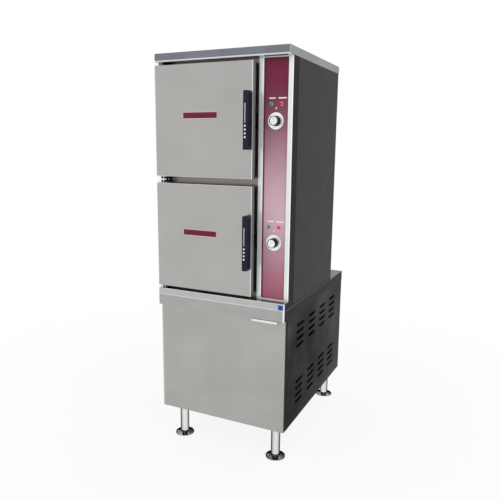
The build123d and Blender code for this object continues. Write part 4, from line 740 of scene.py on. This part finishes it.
class PatternTree:
    """A Geometry Nodes tree that repeats one form at marked points."""

    def __init__(self, name: str, inputs: dict[str, float]) -> None:
        """Start the tree.

        Args:
            name: the tree's name.
            inputs: the named sizes and their plain values, in metres.
        """
        self.tree = bpy.data.node_groups.new(name, "GeometryNodeTree")
        face = self.tree.interface
        face.new_socket("Points", in_out="INPUT", socket_type="NodeSocketGeometry")
        self.keys = {}
        for label, value in inputs.items():
            socket = face.new_socket(label, in_out="INPUT", socket_type="NodeSocketFloat")
            socket.default_value = value
            self.keys[label] = socket.identifier
        socket = face.new_socket("Finish", in_out="INPUT", socket_type="NodeSocketMaterial")
        self.keys["Finish"] = socket.identifier
        face.new_socket("Geometry", in_out="OUTPUT", socket_type="NodeSocketGeometry")
        self.given = add(self.tree, "NodeGroupInput")

    def close(self, form: Socket) -> None:
        """Repeat the form at the points and end the tree.

        Args:
            form: the geometry to repeat, round the origin and with its head along +Z.
        """
        facing = add(self.tree, "GeometryNodeInputNamedAttribute", {"Name": "facing"},
                     data_type="FLOAT_VECTOR")
        upright = add(self.tree, "FunctionNodeAlignRotationToVector",
                      links={"Vector": facing.outputs[0]}, axis="Z")
        along = add(self.tree, "GeometryNodeInputNamedAttribute", {"Name": "along"},
                    data_type="FLOAT_VECTOR")
        turn = add(self.tree, "FunctionNodeAlignRotationToVector",
                   links={"Rotation": upright.outputs[0], "Vector": along.outputs[0]}, axis="X",
                   pivot_axis="Z")
        placed = add(self.tree, "GeometryNodeInstanceOnPoints",
                     links={"Points": self.given.outputs["Points"], "Instance": form,
                            "Rotation": turn.outputs[0]})
        real = add(self.tree, "GeometryNodeRealizeInstances", links={0: placed.outputs[0]})
        painted = add(self.tree, "GeometryNodeSetMaterial",
                      links={"Geometry": real.outputs[0], "Material": self.given.outputs["Finish"]})
        add(self.tree, "NodeGroupOutput", links={0: painted.outputs[0]})

    def piece(self, name: str, places: list[tuple[Triple, Triple]], sizes: dict[str, float],
              body: str, slot: str, finish: Finish,
              ways: list[Triple] | None = None) -> bpy.types.Object:
        """Run the tree over some places and mount the result.

        Args:
            name: the piece's name.
            places: a point on the drawing and the way it faces, for each copy.
            sizes: values for the named inputs, in metres.
            body: the body it rides on.
            slot: not used.
            finish: its surface.
            ways: which way the long side of each copy lies, or None for as it comes.

        Returns:
            The new object.
        """
        points = bpy.data.meshes.new(name + "_points")
        points.from_pydata([DRAWING_TO_FRAME @ Vector(spot) for spot, _ in places], [], [])
        facing = points.attributes.new("facing", "FLOAT_VECTOR", "POINT")
        facing.data.foreach_set("vector", [part for _, way in places for part in way])
        if ways:
            along = points.attributes.new("along", "FLOAT_VECTOR", "POINT")
            along.data.foreach_set("vector", [part for way in ways for part in way])
        holder = stand(name + "_points", points)
        modifier = holder.modifiers.new("pattern", "NODES")
        modifier.node_group = self.tree
        for label, value in sizes.items():
            modifier[self.keys[label]] = value
        modifier[self.keys["Finish"]] = finish.material()
        data = settle(holder)
        data.name = name
        for spare in ("facing", "along"):
            if spare in data.attributes:
                data.attributes.remove(data.attributes[spare])
        return mount(name, data, body, finish)


def screw_tree() -> PatternTree:
    """Make the tree of a pan-head screw: a coned head with a sunk drive recess.

    Returns:
        The finished tree.
    """
    made = PatternTree("pan_head_screws", SCREW_SIZES)
    tree, given = made.tree, made.given
    crown = add(tree, "ShaderNodeMath", {1: 0.7}, {0: given.outputs["Radius"]}, operation="MULTIPLY")
    head = add(tree, "GeometryNodeMeshCone", {"Vertices": 20},
               {"Radius Top": crown.outputs[0], "Radius Bottom": given.outputs["Radius"],
                "Depth": given.outputs["Height"]})
    normal = add(tree, "GeometryNodeInputNormal")
    upward = add(tree, "ShaderNodeSeparateXYZ", links={0: normal.outputs[0]})
    top = add(tree, "FunctionNodeCompare", {1: 0.9}, {0: upward.outputs["Z"]},
              data_type="FLOAT", operation="GREATER_THAN")
    rim = add(tree, "GeometryNodeExtrudeMesh", {"Offset Scale": 0.0},
              {"Mesh": head.outputs["Mesh"], "Selection": top.outputs[0]}, mode="FACES")
    drive = add(tree, "GeometryNodeScaleElements", {"Scale": 0.55},
                {"Geometry": rim.outputs["Mesh"], "Selection": rim.outputs["Top"]})
    depth = add(tree, "ShaderNodeMath", {1: -0.45}, {0: given.outputs["Height"]}, operation="MULTIPLY")
    sunk = add(tree, "GeometryNodeExtrudeMesh",
               links={"Mesh": drive.outputs[0], "Selection": rim.outputs["Top"],
                      "Offset Scale": depth.outputs[0]}, mode="FACES")
    made.close(sunk.outputs["Mesh"])
    return made


def bar_tree() -> PatternTree:
    """Make the tree of a flat bar, for the grips' ribs, the dials' ticks and the painted shadow strips
    under the louvres.

    Returns:
        The finished tree.
    """
    made = PatternTree("flat_bars", {"Length": 0.01, "Width": 0.001, "Height": 0.0005})
    size = add(made.tree, "ShaderNodeCombineXYZ",
               links={"X": made.given.outputs["Length"], "Y": made.given.outputs["Width"],
                      "Z": made.given.outputs["Height"]})
    bar = add(made.tree, "GeometryNodeMeshCube", links={"Size": size.outputs[0]})
    made.close(bar.outputs["Mesh"])
    return made


def screw_down(screws: PatternTree, name: str, rear: float, half: float, rows: tuple[float, ...]) -> None:
    """Screw a rear panel on along both of its upright edges.

    Args:
        screws: the screws' tree.
        name: the piece's name.
        rear: the y of the panel's face.
        half: how far the screws lie from the machine's middle.
        rows: the screws' heights.
    """
    places = [((side * half, rear, z), BACK) for z in rows for side in (-1, 1)]
    screws.piece(name, places, SCREW_SIZES, "cabinet", "zinc_steel", WIRE_STEEL)


@dataclass
class UpperBody:
    """Cover, column, side and rear panels of the cooking body.

    Attributes:
        screws: the screws' tree.
        half_width: half of its width.
        cover_bottom: the z of the cover's lower edge.
        hem: the height of the strip under the cover's front.
        hem_inset: how far the strip stops short of the cover's ends.
        hem_back: the y where the strip ends, at the column.
        seam: the radius of the cover's corner welds.
        seam_length: their length.
        rear: the y of its back.
        screw_half: how far the rear screws lie from the machine's middle.
        screw_rows: their heights.
    """

    screws: PatternTree
    half_width: float = 305.0
    cover_bottom: float = 1714.0
    hem: float = 2.5
    hem_inset: float = 1.5
    hem_back: float = 39.0
    seam: float = 0.9
    seam_length: float = 28.0
    rear: float = 632.0
    screw_half: float = 295.0
    screw_rows: tuple[float, ...] = (725.0, 960.0, 1215.0, 1460.0, 1700.0)

    def build(self) -> None:
        """Dress the sheets and add what is fixed to them."""
        dress(COVER_STEEL, "top_cover")
        dress(COLUMN_TRIM, "column_frame")
        dress(PANEL_ENAMEL, "control_panel")
        dress(SIDE_STEEL, "side_panels", "rear_panel")
        dress(FRAME_STEEL, "compartment_front")
        dress(LEDGE_STEEL, "front_ledge")
        dress(ZINC, "compartment_shelves")
        dress(MINERAL_WOOL, "compartment_insulation")
        self._corner_seams()
        self._hem_strip()
        screw_down(self.screws, "rear_panel_screws", self.rear, self.screw_half, self.screw_rows)

    def _hem_strip(self) -> None:
        """Add the bright strip under the cover's front hem, between its skirt and the column."""
        shape = Shape()
        end, top = self.half_width - self.hem_inset, self.cover_bottom - 0.1
        shape.slab((-end, end), (0.4, self.hem_back), (top - self.hem, top), 0.3)
        shape.piece("cover_hem_strip", "cabinet", "steel_sheet", TRIM_STEEL)

    def _corner_seams(self) -> None:
        """Add the ground weld beads down the cover's two front corners."""
        shape = Shape()
        point = 0.6
        profile = [(0.0, -point), (self.seam, 0.0), (self.seam, self.seam_length),
                   (0.0, self.seam_length + point)]
        for side in (-1, 1):
            foot = (side * (self.half_width - self.seam), self.seam, self.cover_bottom + 2)
            shape.turned(profile, foot, UP, 12)
        shape.piece("cover_corner_seams", "cabinet", "steel_sheet", CHROME)


@dataclass
class CookingDoor:
    """One cooking door with its badge, grip and latch.

    Attributes:
        level: upper or lower.
        bars: the bars' tree.
        middle: the z of the door's middle.
        badge: the badge's middle x and z.
        badge_size: its width and height.
        badge_border: how wide its rim shows.
        badge_faces: the y of its enamel's face and of its rim's face.
        grip: the x span of the grip's face.
        grip_half: half of its length.
        grip_front: the y of its face, which leaves room for the raised marks.
        grip_root: the y of the back of its face.
        grip_back: the y of its back, just off the door.
        web: the thickness of the web behind its face.
        end: the thickness of its ends.
        rib_depths: the y of the ribs on its outer side.
        mark_rise: how far the marks stand out of its face.
        dots: how many small marks it has.
        dot_pitch: the distance between them.
    """

    level: Level
    bars: PatternTree
    middle: float
    badge: Span
    badge_size: Span = (162.0, 27.0)
    badge_border: float = 1.6
    badge_faces: Span = (-1.9, -1.4)
    grip: Span = (130.0, 151.5)
    grip_half: float = 112.5
    grip_front: float = -42.6
    grip_root: float = -33.0
    grip_back: float = -3.0
    web: float = 12.5
    end: float = 15.0
    rib_depths: tuple[float, ...] = (-31.0, -23.0, -15.0, -7.0)
    mark_rise: float = 0.35
    dots: int = 4
    dot_pitch: float = 14.4

    def build(self) -> None:
        """Dress the door's nodes and add its small parts."""
        dress(DOOR_STEEL, self.level + "_door_skin")
        dress(LINER_STEEL, self.level + "_door_inner_panel")
        dress(MINERAL_WOOL, self.level + "_door_insulation")
        dress(SEAL_SILICONE, self.level + "_door_gasket")
        dress(HINGE_STEEL, self.level + "_latch_lever")
        self._badge()
        self._grip()
        self._grip_marks()
        self._grip_ribs()

    def _badge(self) -> None:
        """Add the plain badge: a pale rim and a bare enamelled field."""
        x, z = self.badge
        wide, high = (size / 2 for size in self.badge_size)
        enamel_face, rim_face = self.badge_faces
        rim = Shape()
        rim.plate(rounded((x - wide, x + wide), (z - high, z + high), 2.5), rim_face, 0.0, 0.4)
        rim.piece(self.level + "_badge_rim", self.level + "_door", "steel_panel", BADGE_RIM)
        wide, high = wide - self.badge_border, high - self.badge_border
        enamel = Shape()
        enamel.plate(rounded((x - wide, x + wide), (z - high, z + high), 1.4), enamel_face, rim_face, 0.2)
        enamel.piece(self.level + "_badge_field", self.level + "_door", "burgundy_panel", BADGE_ENAMEL)

    def _grip(self) -> None:
        """Add the grip in place of the plain one: a face, a web and two ends, all round edged."""
        shape = Shape()
        inner, outer = self.grip
        low, high = self.middle - self.grip_half, self.middle + self.grip_half
        root, back = self.grip_root, self.grip_back
        # The web and the ends start inside the face and stop just short of its outline.
        inside, short = root - 3, 0.3
        shape.slab((inner, outer), (self.grip_front, root), (low, high), 2.2, 3)
        shape.slab((outer - self.web, outer - short), (inside, back), (low + short, high - short), 1.2)
        for end in ((low + short, low + self.end), (high - self.end, high - short)):
            shape.slab((inner + short, outer - 2 * short), (inside, back), end, 1.2)
        made = shape.piece(self.level + "_grip_body", self.level + "_handle", "black_plastic", GRIP_NYLON)
        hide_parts(self.level + "_handle_grip")

    def _grip_marks(self) -> None:
        """Add the pale bar with its head and the small marks below it on the grip's face."""
        shape = Shape()
        x = sum(self.grip) / 2 - 1.5
        ys = (self.grip_front - self.mark_rise, self.grip_front + 0.5)
        marks = [(1.1, self.middle - 9, self.middle + 63), (2.2, self.middle + 50, self.middle + 64)]
        for number in range(self.dots):
            z = self.middle - 21 - self.dot_pitch * number
            marks.append((3.2, z - 3.4, z + 3.4))
        for half, low, high in marks:
            shape.slab((x - half, x + half), ys, (low, high), 0.15)
        shape.piece(self.level + "_grip_marks", self.level + "_handle", "white_plastic", PALE_INK)

    def _grip_ribs(self) -> None:
        """Add the upright ribs moulded on the grip's outer side."""
        places = [((self.grip[1] - 0.3, y, self.middle), RIGHT) for y in self.rib_depths]
        self.bars.piece(self.level + "_grip_ribs", places,
                        {"Length": 0.205, "Width": 0.003, "Height": 0.0022},
                        self.level + "_handle", "black_plastic", GRIP_NYLON)


@dataclass
class TimerControl:
    """Knob, dial, lamps and print of one compartment's timer.

    Attributes:
        level: upper or lower.
        bars: the bars' tree.
        middle: the z of the knob's middle.
        x: the controls' middle x.
        face: the y of the panel's face.
        dial_face: the y of the dial's face.
        knob_length: how far the knob stands out of the dial, without its cap.
        tick_reach: how far the ticks' middles lie from the dial's middle.
        number_reach: how far the numbers' middles lie from it.
        number_size: the size of the numbers.
        lamp_rise: how far the lamps lie above the knob.
        lamp_spread: the distance between the lamps.
        lens_radius: the radius of a lens, and of the hole in its bezel.
        pointer_rise: how far the top of the pointer lies above the knob.
        pointer_size: half of the pointer's width, and its height.
        bar_rise: how far the plain bars over the lamps lie above the knob.
        bar_spans: their x spans.
        bar_half: half of their height.
    """

    level: Level
    bars: PatternTree
    middle: float
    x: float = 232.75
    face: float = 46.5
    dial_face: float = 43.5
    knob_length: float = 26.0
    tick_reach: float = 30.6
    number_reach: float = 25.6
    number_size: float = 4.4
    lamp_rise: float = 65.0
    lamp_spread: float = 43.5
    lens_radius: float = 6.2
    pointer_rise: float = 52.0
    pointer_size: Span = (4.2, 9.0)
    bar_rise: float = 87.5
    bar_spans: tuple[Span, Span] = ((201.6, 228.5), (241.0, 276.5))
    bar_half: float = 2.6

    def build(self) -> None:
        """Add the knob, the dial's print, the lamps and the panel's print."""
        dress(DIAL_ALUMINIUM, self.level + "_dial")
        dress(WIRE_STEEL, self.level + "_timer_shaft")
        self._knob()
        self._dial_ticks()
        self._dial_numbers()
        self._lamps()
        self._panel_print()

    def _knob(self) -> None:
        """Add the fluted knob, its spun cap and the line on it, in place of the plain ones."""
        body = self.level + "_timer_knob"
        middle = (self.x, self.dial_face, self.middle)
        length = self.knob_length
        knob = Shape()
        profile = [(19.4, 0.0), (20.0, 0.7), (20.0, 3.4), (19.6, 4.4), (19.4, 5.4), (19.2, length - 2.6),
                   (19.0, length - 1.0), (18.4, length - 0.5), (16.9, length - 0.6), (16.5, length - 1.4)]
        knob.turned(profile, middle, FRONT, 120, (20, 1.0, 4, 6))
        made = knob.piece(self.level + "_knob_body", body, "black_plastic", KNOB_PHENOLIC)
        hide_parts(self.level + "_knob")
        cap = Shape()
        profile = [(16.3, length - 1.4), (16.3, length - 0.2), (15.7, length + 0.3), (13.2, length + 0.45),
                   (12.8, length + 0.1), (12.3, length + 0.1), (11.9, length + 0.5), (0.0, length + 0.6)]
        cap.turned(profile, middle, FRONT, 72)
        cap.piece(self.level + "_knob_cap", body, "chrome_leg", CAP_ALUMINIUM)
        line = Shape()
        y = self.dial_face - length - 0.5
        line.slab((self.x - 0.9, self.x + 0.9), (y - 0.1, y + 0.4),
                  (self.middle + 2, self.middle + 12.5), 0.1)
        line.piece(self.level + "_knob_line", body, "black_plastic", DIAL_INK)

    def _dial_ticks(self) -> None:
        """Print sixty minute ticks round the dial, every fifth one bold."""
        for kind, minutes, long, wide in (
                ("minute", [minute for minute in range(60) if minute % 5], 0.0018, 0.00035),
                ("bold", range(0, 60, 5), 0.003, 0.0006)):
            places, ways = [], []
            for minute in minutes:
                angle = math.radians(90 - 6 * minute)
                way = (math.cos(angle), 0.0, math.sin(angle))
                spot = (self.x + self.tick_reach * way[0], self.dial_face,
                        self.middle + self.tick_reach * way[2])
                places.append((spot, FRONT))
                ways.append(way)
            self.bars.piece(f"{self.level}_dial_{kind}_ticks", places,
                            {"Length": long, "Width": wide, "Height": 0.0002},
                            self.level + "_timer_knob", "black_plastic", DIAL_INK, ways)

    def _dial_numbers(self) -> None:
        """Set the plain numbers 0 to 50 round the dial, each reading outwards."""
        shape = Shape()
        sunk = 0.04
        for number in range(6):
            angle = math.radians(60 * number)
            text = bpy.data.curves.new("numeral", "FONT")
            text.body = str(10 * number)
            text.size = self.number_size
            text.extrude = sunk
            text.align_x = "CENTER"
            text.align_y = "CENTER"
            text.resolution_u = 3
            data = settle(stand("numeral", text))
            spot = Vector((self.x + self.number_reach * math.sin(angle), self.dial_face - sunk,
                           self.middle + self.number_reach * math.cos(angle)))
            data.transform(Matrix.Translation(spot) @ Matrix.Rotation(angle, 4, "Y")
                           @ Matrix.Rotation(math.radians(90), 4, "X"))
            shape.mesh.from_mesh(data)
            bpy.data.meshes.remove(data)
        shape.piece(self.level + "_dial_numbers", self.level + "_timer_knob", "black_plastic", DIAL_INK)

    def _lamps(self) -> None:
        """Add two lamps, each a chromed bezel round a domed lens, in place of the plain ones."""
        hole = self.lens_radius
        for side, colour, finish in ((-1, "green", GREEN_LENS), (1, "red", RED_LENS)):
            middle = (self.x + side * self.lamp_spread / 2, self.face, self.middle + self.lamp_rise)
            lens = Shape()
            lens.turned([(hole, 0.5), (hole, 3.4), (5.7, 4.6), (4.4, 5.8), (2.5, 6.6), (0.0, 6.9)],
                        middle, FRONT, 32)
            made = lens.piece(f"{self.level}_{colour}_lens", "cabinet", "lamp_lens", finish)
            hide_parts("indicator_lamps")
            bezel = Shape()
            bezel.turned([(hole, 0.0), (8.5, 0.0), (8.5, 1.6), (7.9, 2.7), (7.0, 3.0), (6.3, 2.6),
                          (hole, 0.0)], middle, FRONT, 40)
            bezel.piece(f"{self.level}_{colour}_bezel", "cabinet", "chrome_leg", CHROME)

    def _panel_print(self) -> None:
        """Print the pointer over the dial and the two plain bars over the lamps."""
        shape = Shape()
        top = self.middle + self.pointer_rise
        half, height = self.pointer_size
        pointer = [(self.x - half, top), (self.x, top - height), (self.x + half, top)]
        z = self.middle + self.bar_rise
        bars = [rounded(xs, (z - self.bar_half, z + self.bar_half), 0.8, 3) for xs in self.bar_spans]
        for outline in (pointer, *bars):
            shape.plate(outline, self.face - PRINT_THICK, self.face, PRINT_EDGE)
        shape.piece(self.level + "_panel_print", "cabinet", "white_plastic", PALE_INK)


class Compartments:
    """The two compartments, their wires, hinges and strikes, and the steam and drain lines there."""

    def build(self) -> None:
        """Dress the nodes."""
        dress(LINER_STEEL, *[level + "_compartment" for level in Level])
        dress(WIRE_STEEL, "pan_guides")
        dress(HINGE_STEEL, "latch_strikes")
        dress(BRACKET_STEEL, "hinge_brackets")
        dress(PIPE_STEEL, "steam_pipes", "drain_pipe")
        dress(BRASS, "steam_valves")
        dress(GREY_ABS, "timers")


@dataclass
class BaseCabinet:
    """Deck, door, sides and rear of the cabinet base.

    Attributes:
        screws: the screws' tree.
        bars: the bars' tree.
        depth: the deck's depth.
        label: the x and z span of the blue label on the ledge.
        side_face: the x of the sides' faces.
        louvre_columns: the y of the louvres' middles.
        louvre_rows: the z of the louvres' middles.
        shadow_drop: how far the painted shadow strip under a louvre lies below its middle.
        screw_half: how far the rear screws lie from the machine's middle.
        screw_rows: their heights.
    """

    screws: PatternTree
    bars: PatternTree
    depth: float = 841.0
    label: tuple[Span, Span] = ((276.5, 297.5), (714.5, 735.5))
    side_face: float = 304.0
    louvre_columns: tuple[float, ...] = (200.0, 357.5, 515.0, 672.5)
    louvre_rows: tuple[float, ...] = (249.0, 281.0, 313.0, 345.0, 513.0, 545.0, 577.0, 609.0)
    shadow_drop: float = 8.4
    screw_half: float = 295.0
    screw_rows: tuple[float, ...] = (180.0, 330.0, 490.0, 645.0)

    def build(self) -> None:
        """Dress the cabinet and add its small parts."""
        dress(DECK_STEEL, "base_deck")
        dress(BASE_DOOR_STEEL, "base_door_skin")
        dress(PULL_STEEL, "base_door_pull")
        dress(BASE_SIDE_STEEL, "base_side_panels")
        dress(SIDE_STEEL, "base_rear_panel")
        dress(ZINC, "base_floor", "base_frame", "base_door_hinges", "control_box")
        dress(GREY_ABS, "base_door_catch", "contactors", "cable_gland")
        dress(KNOB_PHENOLIC, "power_switch")
        self._label()
        self._louvre_shadows()
        screw_down(self.screws, "base_rear_screws", self.depth, self.screw_half, self.screw_rows)

    def _louvre_shadows(self) -> None:
        """Lay a dull black strip on the side under each louvre's lip: a painted shadow."""
        places = [((side * self.side_face, y, z - self.shadow_drop), (side, 0, 0))
                  for side in (-1, 1) for y in self.louvre_columns for z in self.louvre_rows]
        self.bars.piece("louvre_shadow_strips", places, {"Length": 0.076, "Width": 0.0078, "Height": 0.0006},
                        "cabinet", "black_plastic", LOUVRE_SHADOW, [BACK] * len(places))

    def _label(self) -> None:
        """Add the small plain label at the ledge's right end."""
        shape = Shape()
        shape.plate(rounded(*self.label, 1.5), -0.3, 0.0, 0.1)
        shape.piece("ledge_label", "cabinet", "white_plastic", BLUE_VINYL)


class Legs:
    """The four chromed legs and their flanged feet."""

    def build(self) -> None:
        """Dress the legs and feet."""
        dress(LEG_CHROME, "leg_tubes")
        dress(FOOT_CHROME, "feet")


class Boiler:
    """The boiler with its pipes and valves inside the base."""

    def build(self) -> None:
        """Dress what stands inside the base."""
        dress(PIPE_STEEL, "boiler_shell", "heating_elements")
        dress(BRASS, "safety_valve", "drain_valve", "fill_valves")
        dress(WIRE_STEEL, "safety_valve_lever", "drain_valve_lever")
        dress(COPPER, "water_pipes")


@dataclass
class Studio:
    """Pale floor, soft light and the camera at the photograph's viewpoint.

    Attributes:
        camera_place: the camera's x, y and z on the drawing.
        yaw: its turn to the right from looking straight back, in radians.
        pitch: its tilt down, in radians.
        roll: its lean, in radians.
        sensor: the width of its sensor.
        lens: its focal length.
        light: how bright the world is where it only lights.
        lamps: each lamp's name, its place and width in metres, and its power in watts.
        aim: the point that the lamps look at, in metres.
        floor_reach: the floor's radius, in metres.
        floor_fade: where the floor starts to fade and where it is gone, in metres.
        floor_white: how far the floor shows as plain white. The rest shows light and shadow.
    """

    camera_place: Triple = (1077.4, -1974.6, 1366.5)
    yaw: float = -0.4403
    pitch: float = 0.1873
    roll: float = 0.0107
    sensor: float = 36.0
    lens: float = 38.994
    light: float = 0.82
    lamps: tuple[tuple[str, Triple, float, float], ...] = (
        ("key_light", (-1.9, -3.4, 3.3), 2.6, 46.0),
        ("fill_light", (3.2, -2.2, 2.4), 2.4, 26.0),
        ("back_light", (0.4, 3.6, 3.2), 2.6, 34.0),
    )
    aim: Triple = (0.0, 0.0, 0.9)
    floor_reach: float = 4.5
    floor_fade: Span = (0.9, 2.6)
    floor_white: float = 0.86

    def build(self) -> None:
        """Set the whole studio up."""
        self._camera()
        self._world()
        self._floor()
        for lamp in self.lamps:
            self._lamp(*lamp)
        bpy.context.scene.view_settings.view_transform = "Standard"

    def _camera(self) -> None:
        """Place the camera."""
        yaw, pitch, roll = self.yaw, self.pitch, self.roll
        ahead = Vector((math.sin(yaw) * math.cos(pitch), math.cos(yaw) * math.cos(pitch), -math.sin(pitch)))
        level = Vector((math.cos(yaw), -math.sin(yaw), 0))
        upright = level.cross(ahead)
        right = math.cos(roll) * level + math.sin(roll) * upright
        up = -math.sin(roll) * level + math.cos(roll) * upright
        data = bpy.data.cameras.new("camera")
        data.sensor_width = self.sensor
        data.lens = self.lens
        data.clip_end = 60.0
        camera = stand("camera", data)
        turn = Matrix((right, up, -ahead)).transposed().to_4x4()
        camera.matrix_world = Matrix.Translation(DRAWING_TO_FRAME @ Vector(self.camera_place)) @ turn
        bpy.context.scene.camera = camera

    def _seen(self, tree: Tree) -> Socket:
        """Tell the rays of the eye, of mirrors and of glass from those that only light.

        Args:
            tree: the tree of the world or of the floor.

        Returns:
            One on the rays that see and nought on the others.
        """
        path = add(tree, "ShaderNodeLightPath")
        seen = path.outputs["Is Camera Ray"]
        for kind in ("Is Glossy Ray", "Is Transmission Ray"):
            seen = add(tree, "ShaderNodeMath", links={0: seen, 1: path.outputs[kind]},
                       operation="MAXIMUM").outputs[0]
        return seen

    def _world(self) -> None:
        """Make a world that is white to the eye, to metal and to glass, and a soft light elsewhere."""
        world = bpy.data.worlds.new("studio")
        bpy.context.scene.world = world
        tree = empty_tree(world)
        soft = add(tree, "ShaderNodeBackground", {"Color": linear("#F4F6FA"), "Strength": self.light})
        white = add(tree, "ShaderNodeBackground", {"Color": (1, 1, 1, 1), "Strength": 1.0})
        both = add(tree, "ShaderNodeMixShader",
                   links={0: self._seen(tree), 1: soft.outputs[0], 2: white.outputs[0]})
        add(tree, "ShaderNodeOutputWorld", links={0: both.outputs[0]})

    def _floor(self) -> None:
        """Lay a pale floor that fades into the white distance."""
        mesh = bmesh.new()
        bmesh.ops.create_circle(mesh, cap_ends=True, segments=96, radius=self.floor_reach)
        data = bpy.data.meshes.new("floor")
        mesh.to_mesh(data)
        mesh.free()
        paint = bpy.data.materials.new("floor_pale")
        tree = empty_tree(paint)
        spots = add(tree, "ShaderNodeTexCoord")
        reach = add(tree, "ShaderNodeVectorMath", links={0: spots.outputs["Object"]}, operation="LENGTH")
        fade = add(tree, "ShaderNodeMapRange", {1: self.floor_fade[0], 2: self.floor_fade[1]},
                   {0: reach.outputs["Value"]}, interpolation_type="SMOOTHSTEP")
        lit = add(tree, "ShaderNodeBsdfDiffuse", {"Color": linear("#F3F3F2")})
        white = add(tree, "ShaderNodeEmission", {"Color": (1, 1, 1, 1), "Strength": 1.0})
        share = add(tree, "ShaderNodeMath", {1: self.floor_white}, {0: self._seen(tree)},
                    operation="MULTIPLY")
        eye = add(tree, "ShaderNodeMixShader",
                  links={0: share.outputs[0], 1: lit.outputs[0], 2: white.outputs[0]})
        gone = add(tree, "ShaderNodeBsdfTransparent")
        ends = add(tree, "ShaderNodeMixShader",
                   links={0: fade.outputs[0], 1: eye.outputs[0], 2: gone.outputs[0]})
        add(tree, "ShaderNodeOutputMaterial", links={0: ends.outputs[0]})
        data.materials.append(paint)
        stand("floor", data)

    def _lamp(self, name: str, place: Triple, size: float, power: float) -> None:
        """Hang one large soft lamp that looks at the machine's middle.

        Args:
            name: the lamp's name.
            place: where it hangs, in metres.
            size: the side of its square, in metres.
            power: its power in watts.
        """
        data = bpy.data.lights.new(name, "AREA")
        data.size = size
        data.energy = power
        lamp = stand(name, data)
        lamp.visible_glossy = False
        lamp.location = place
        look = Vector(self.aim) - Vector(place)
        lamp.rotation_mode = "QUATERNION"
        lamp.rotation_quaternion = look.to_track_quat("-Z", "Y")


def main() -> None:
    """Build the machine's sub-assemblies in order, then the studio."""
    logging.basicConfig(level=logging.INFO, format="%(message)s")
    screws, bars = screw_tree(), bar_tree()
    parts = [
        UpperBody(screws),
        CookingDoor(Level.UPPER, bars, 1469.5, (-86.3, 1493.5)),
        CookingDoor(Level.LOWER, bars, 983.0, (-90.0, 1005.0)),
        TimerControl(Level.UPPER, bars, 1469.5),
        TimerControl(Level.LOWER, bars, 983.0),
        Compartments(),
        BaseCabinet(screws, bars),
        Legs(),
        Boiler(),
        Studio(),
    ]
    for part in parts:
        part.build()
        log.info("%s is done", type(part).__name__)


if __name__ == "__main__":
    main()
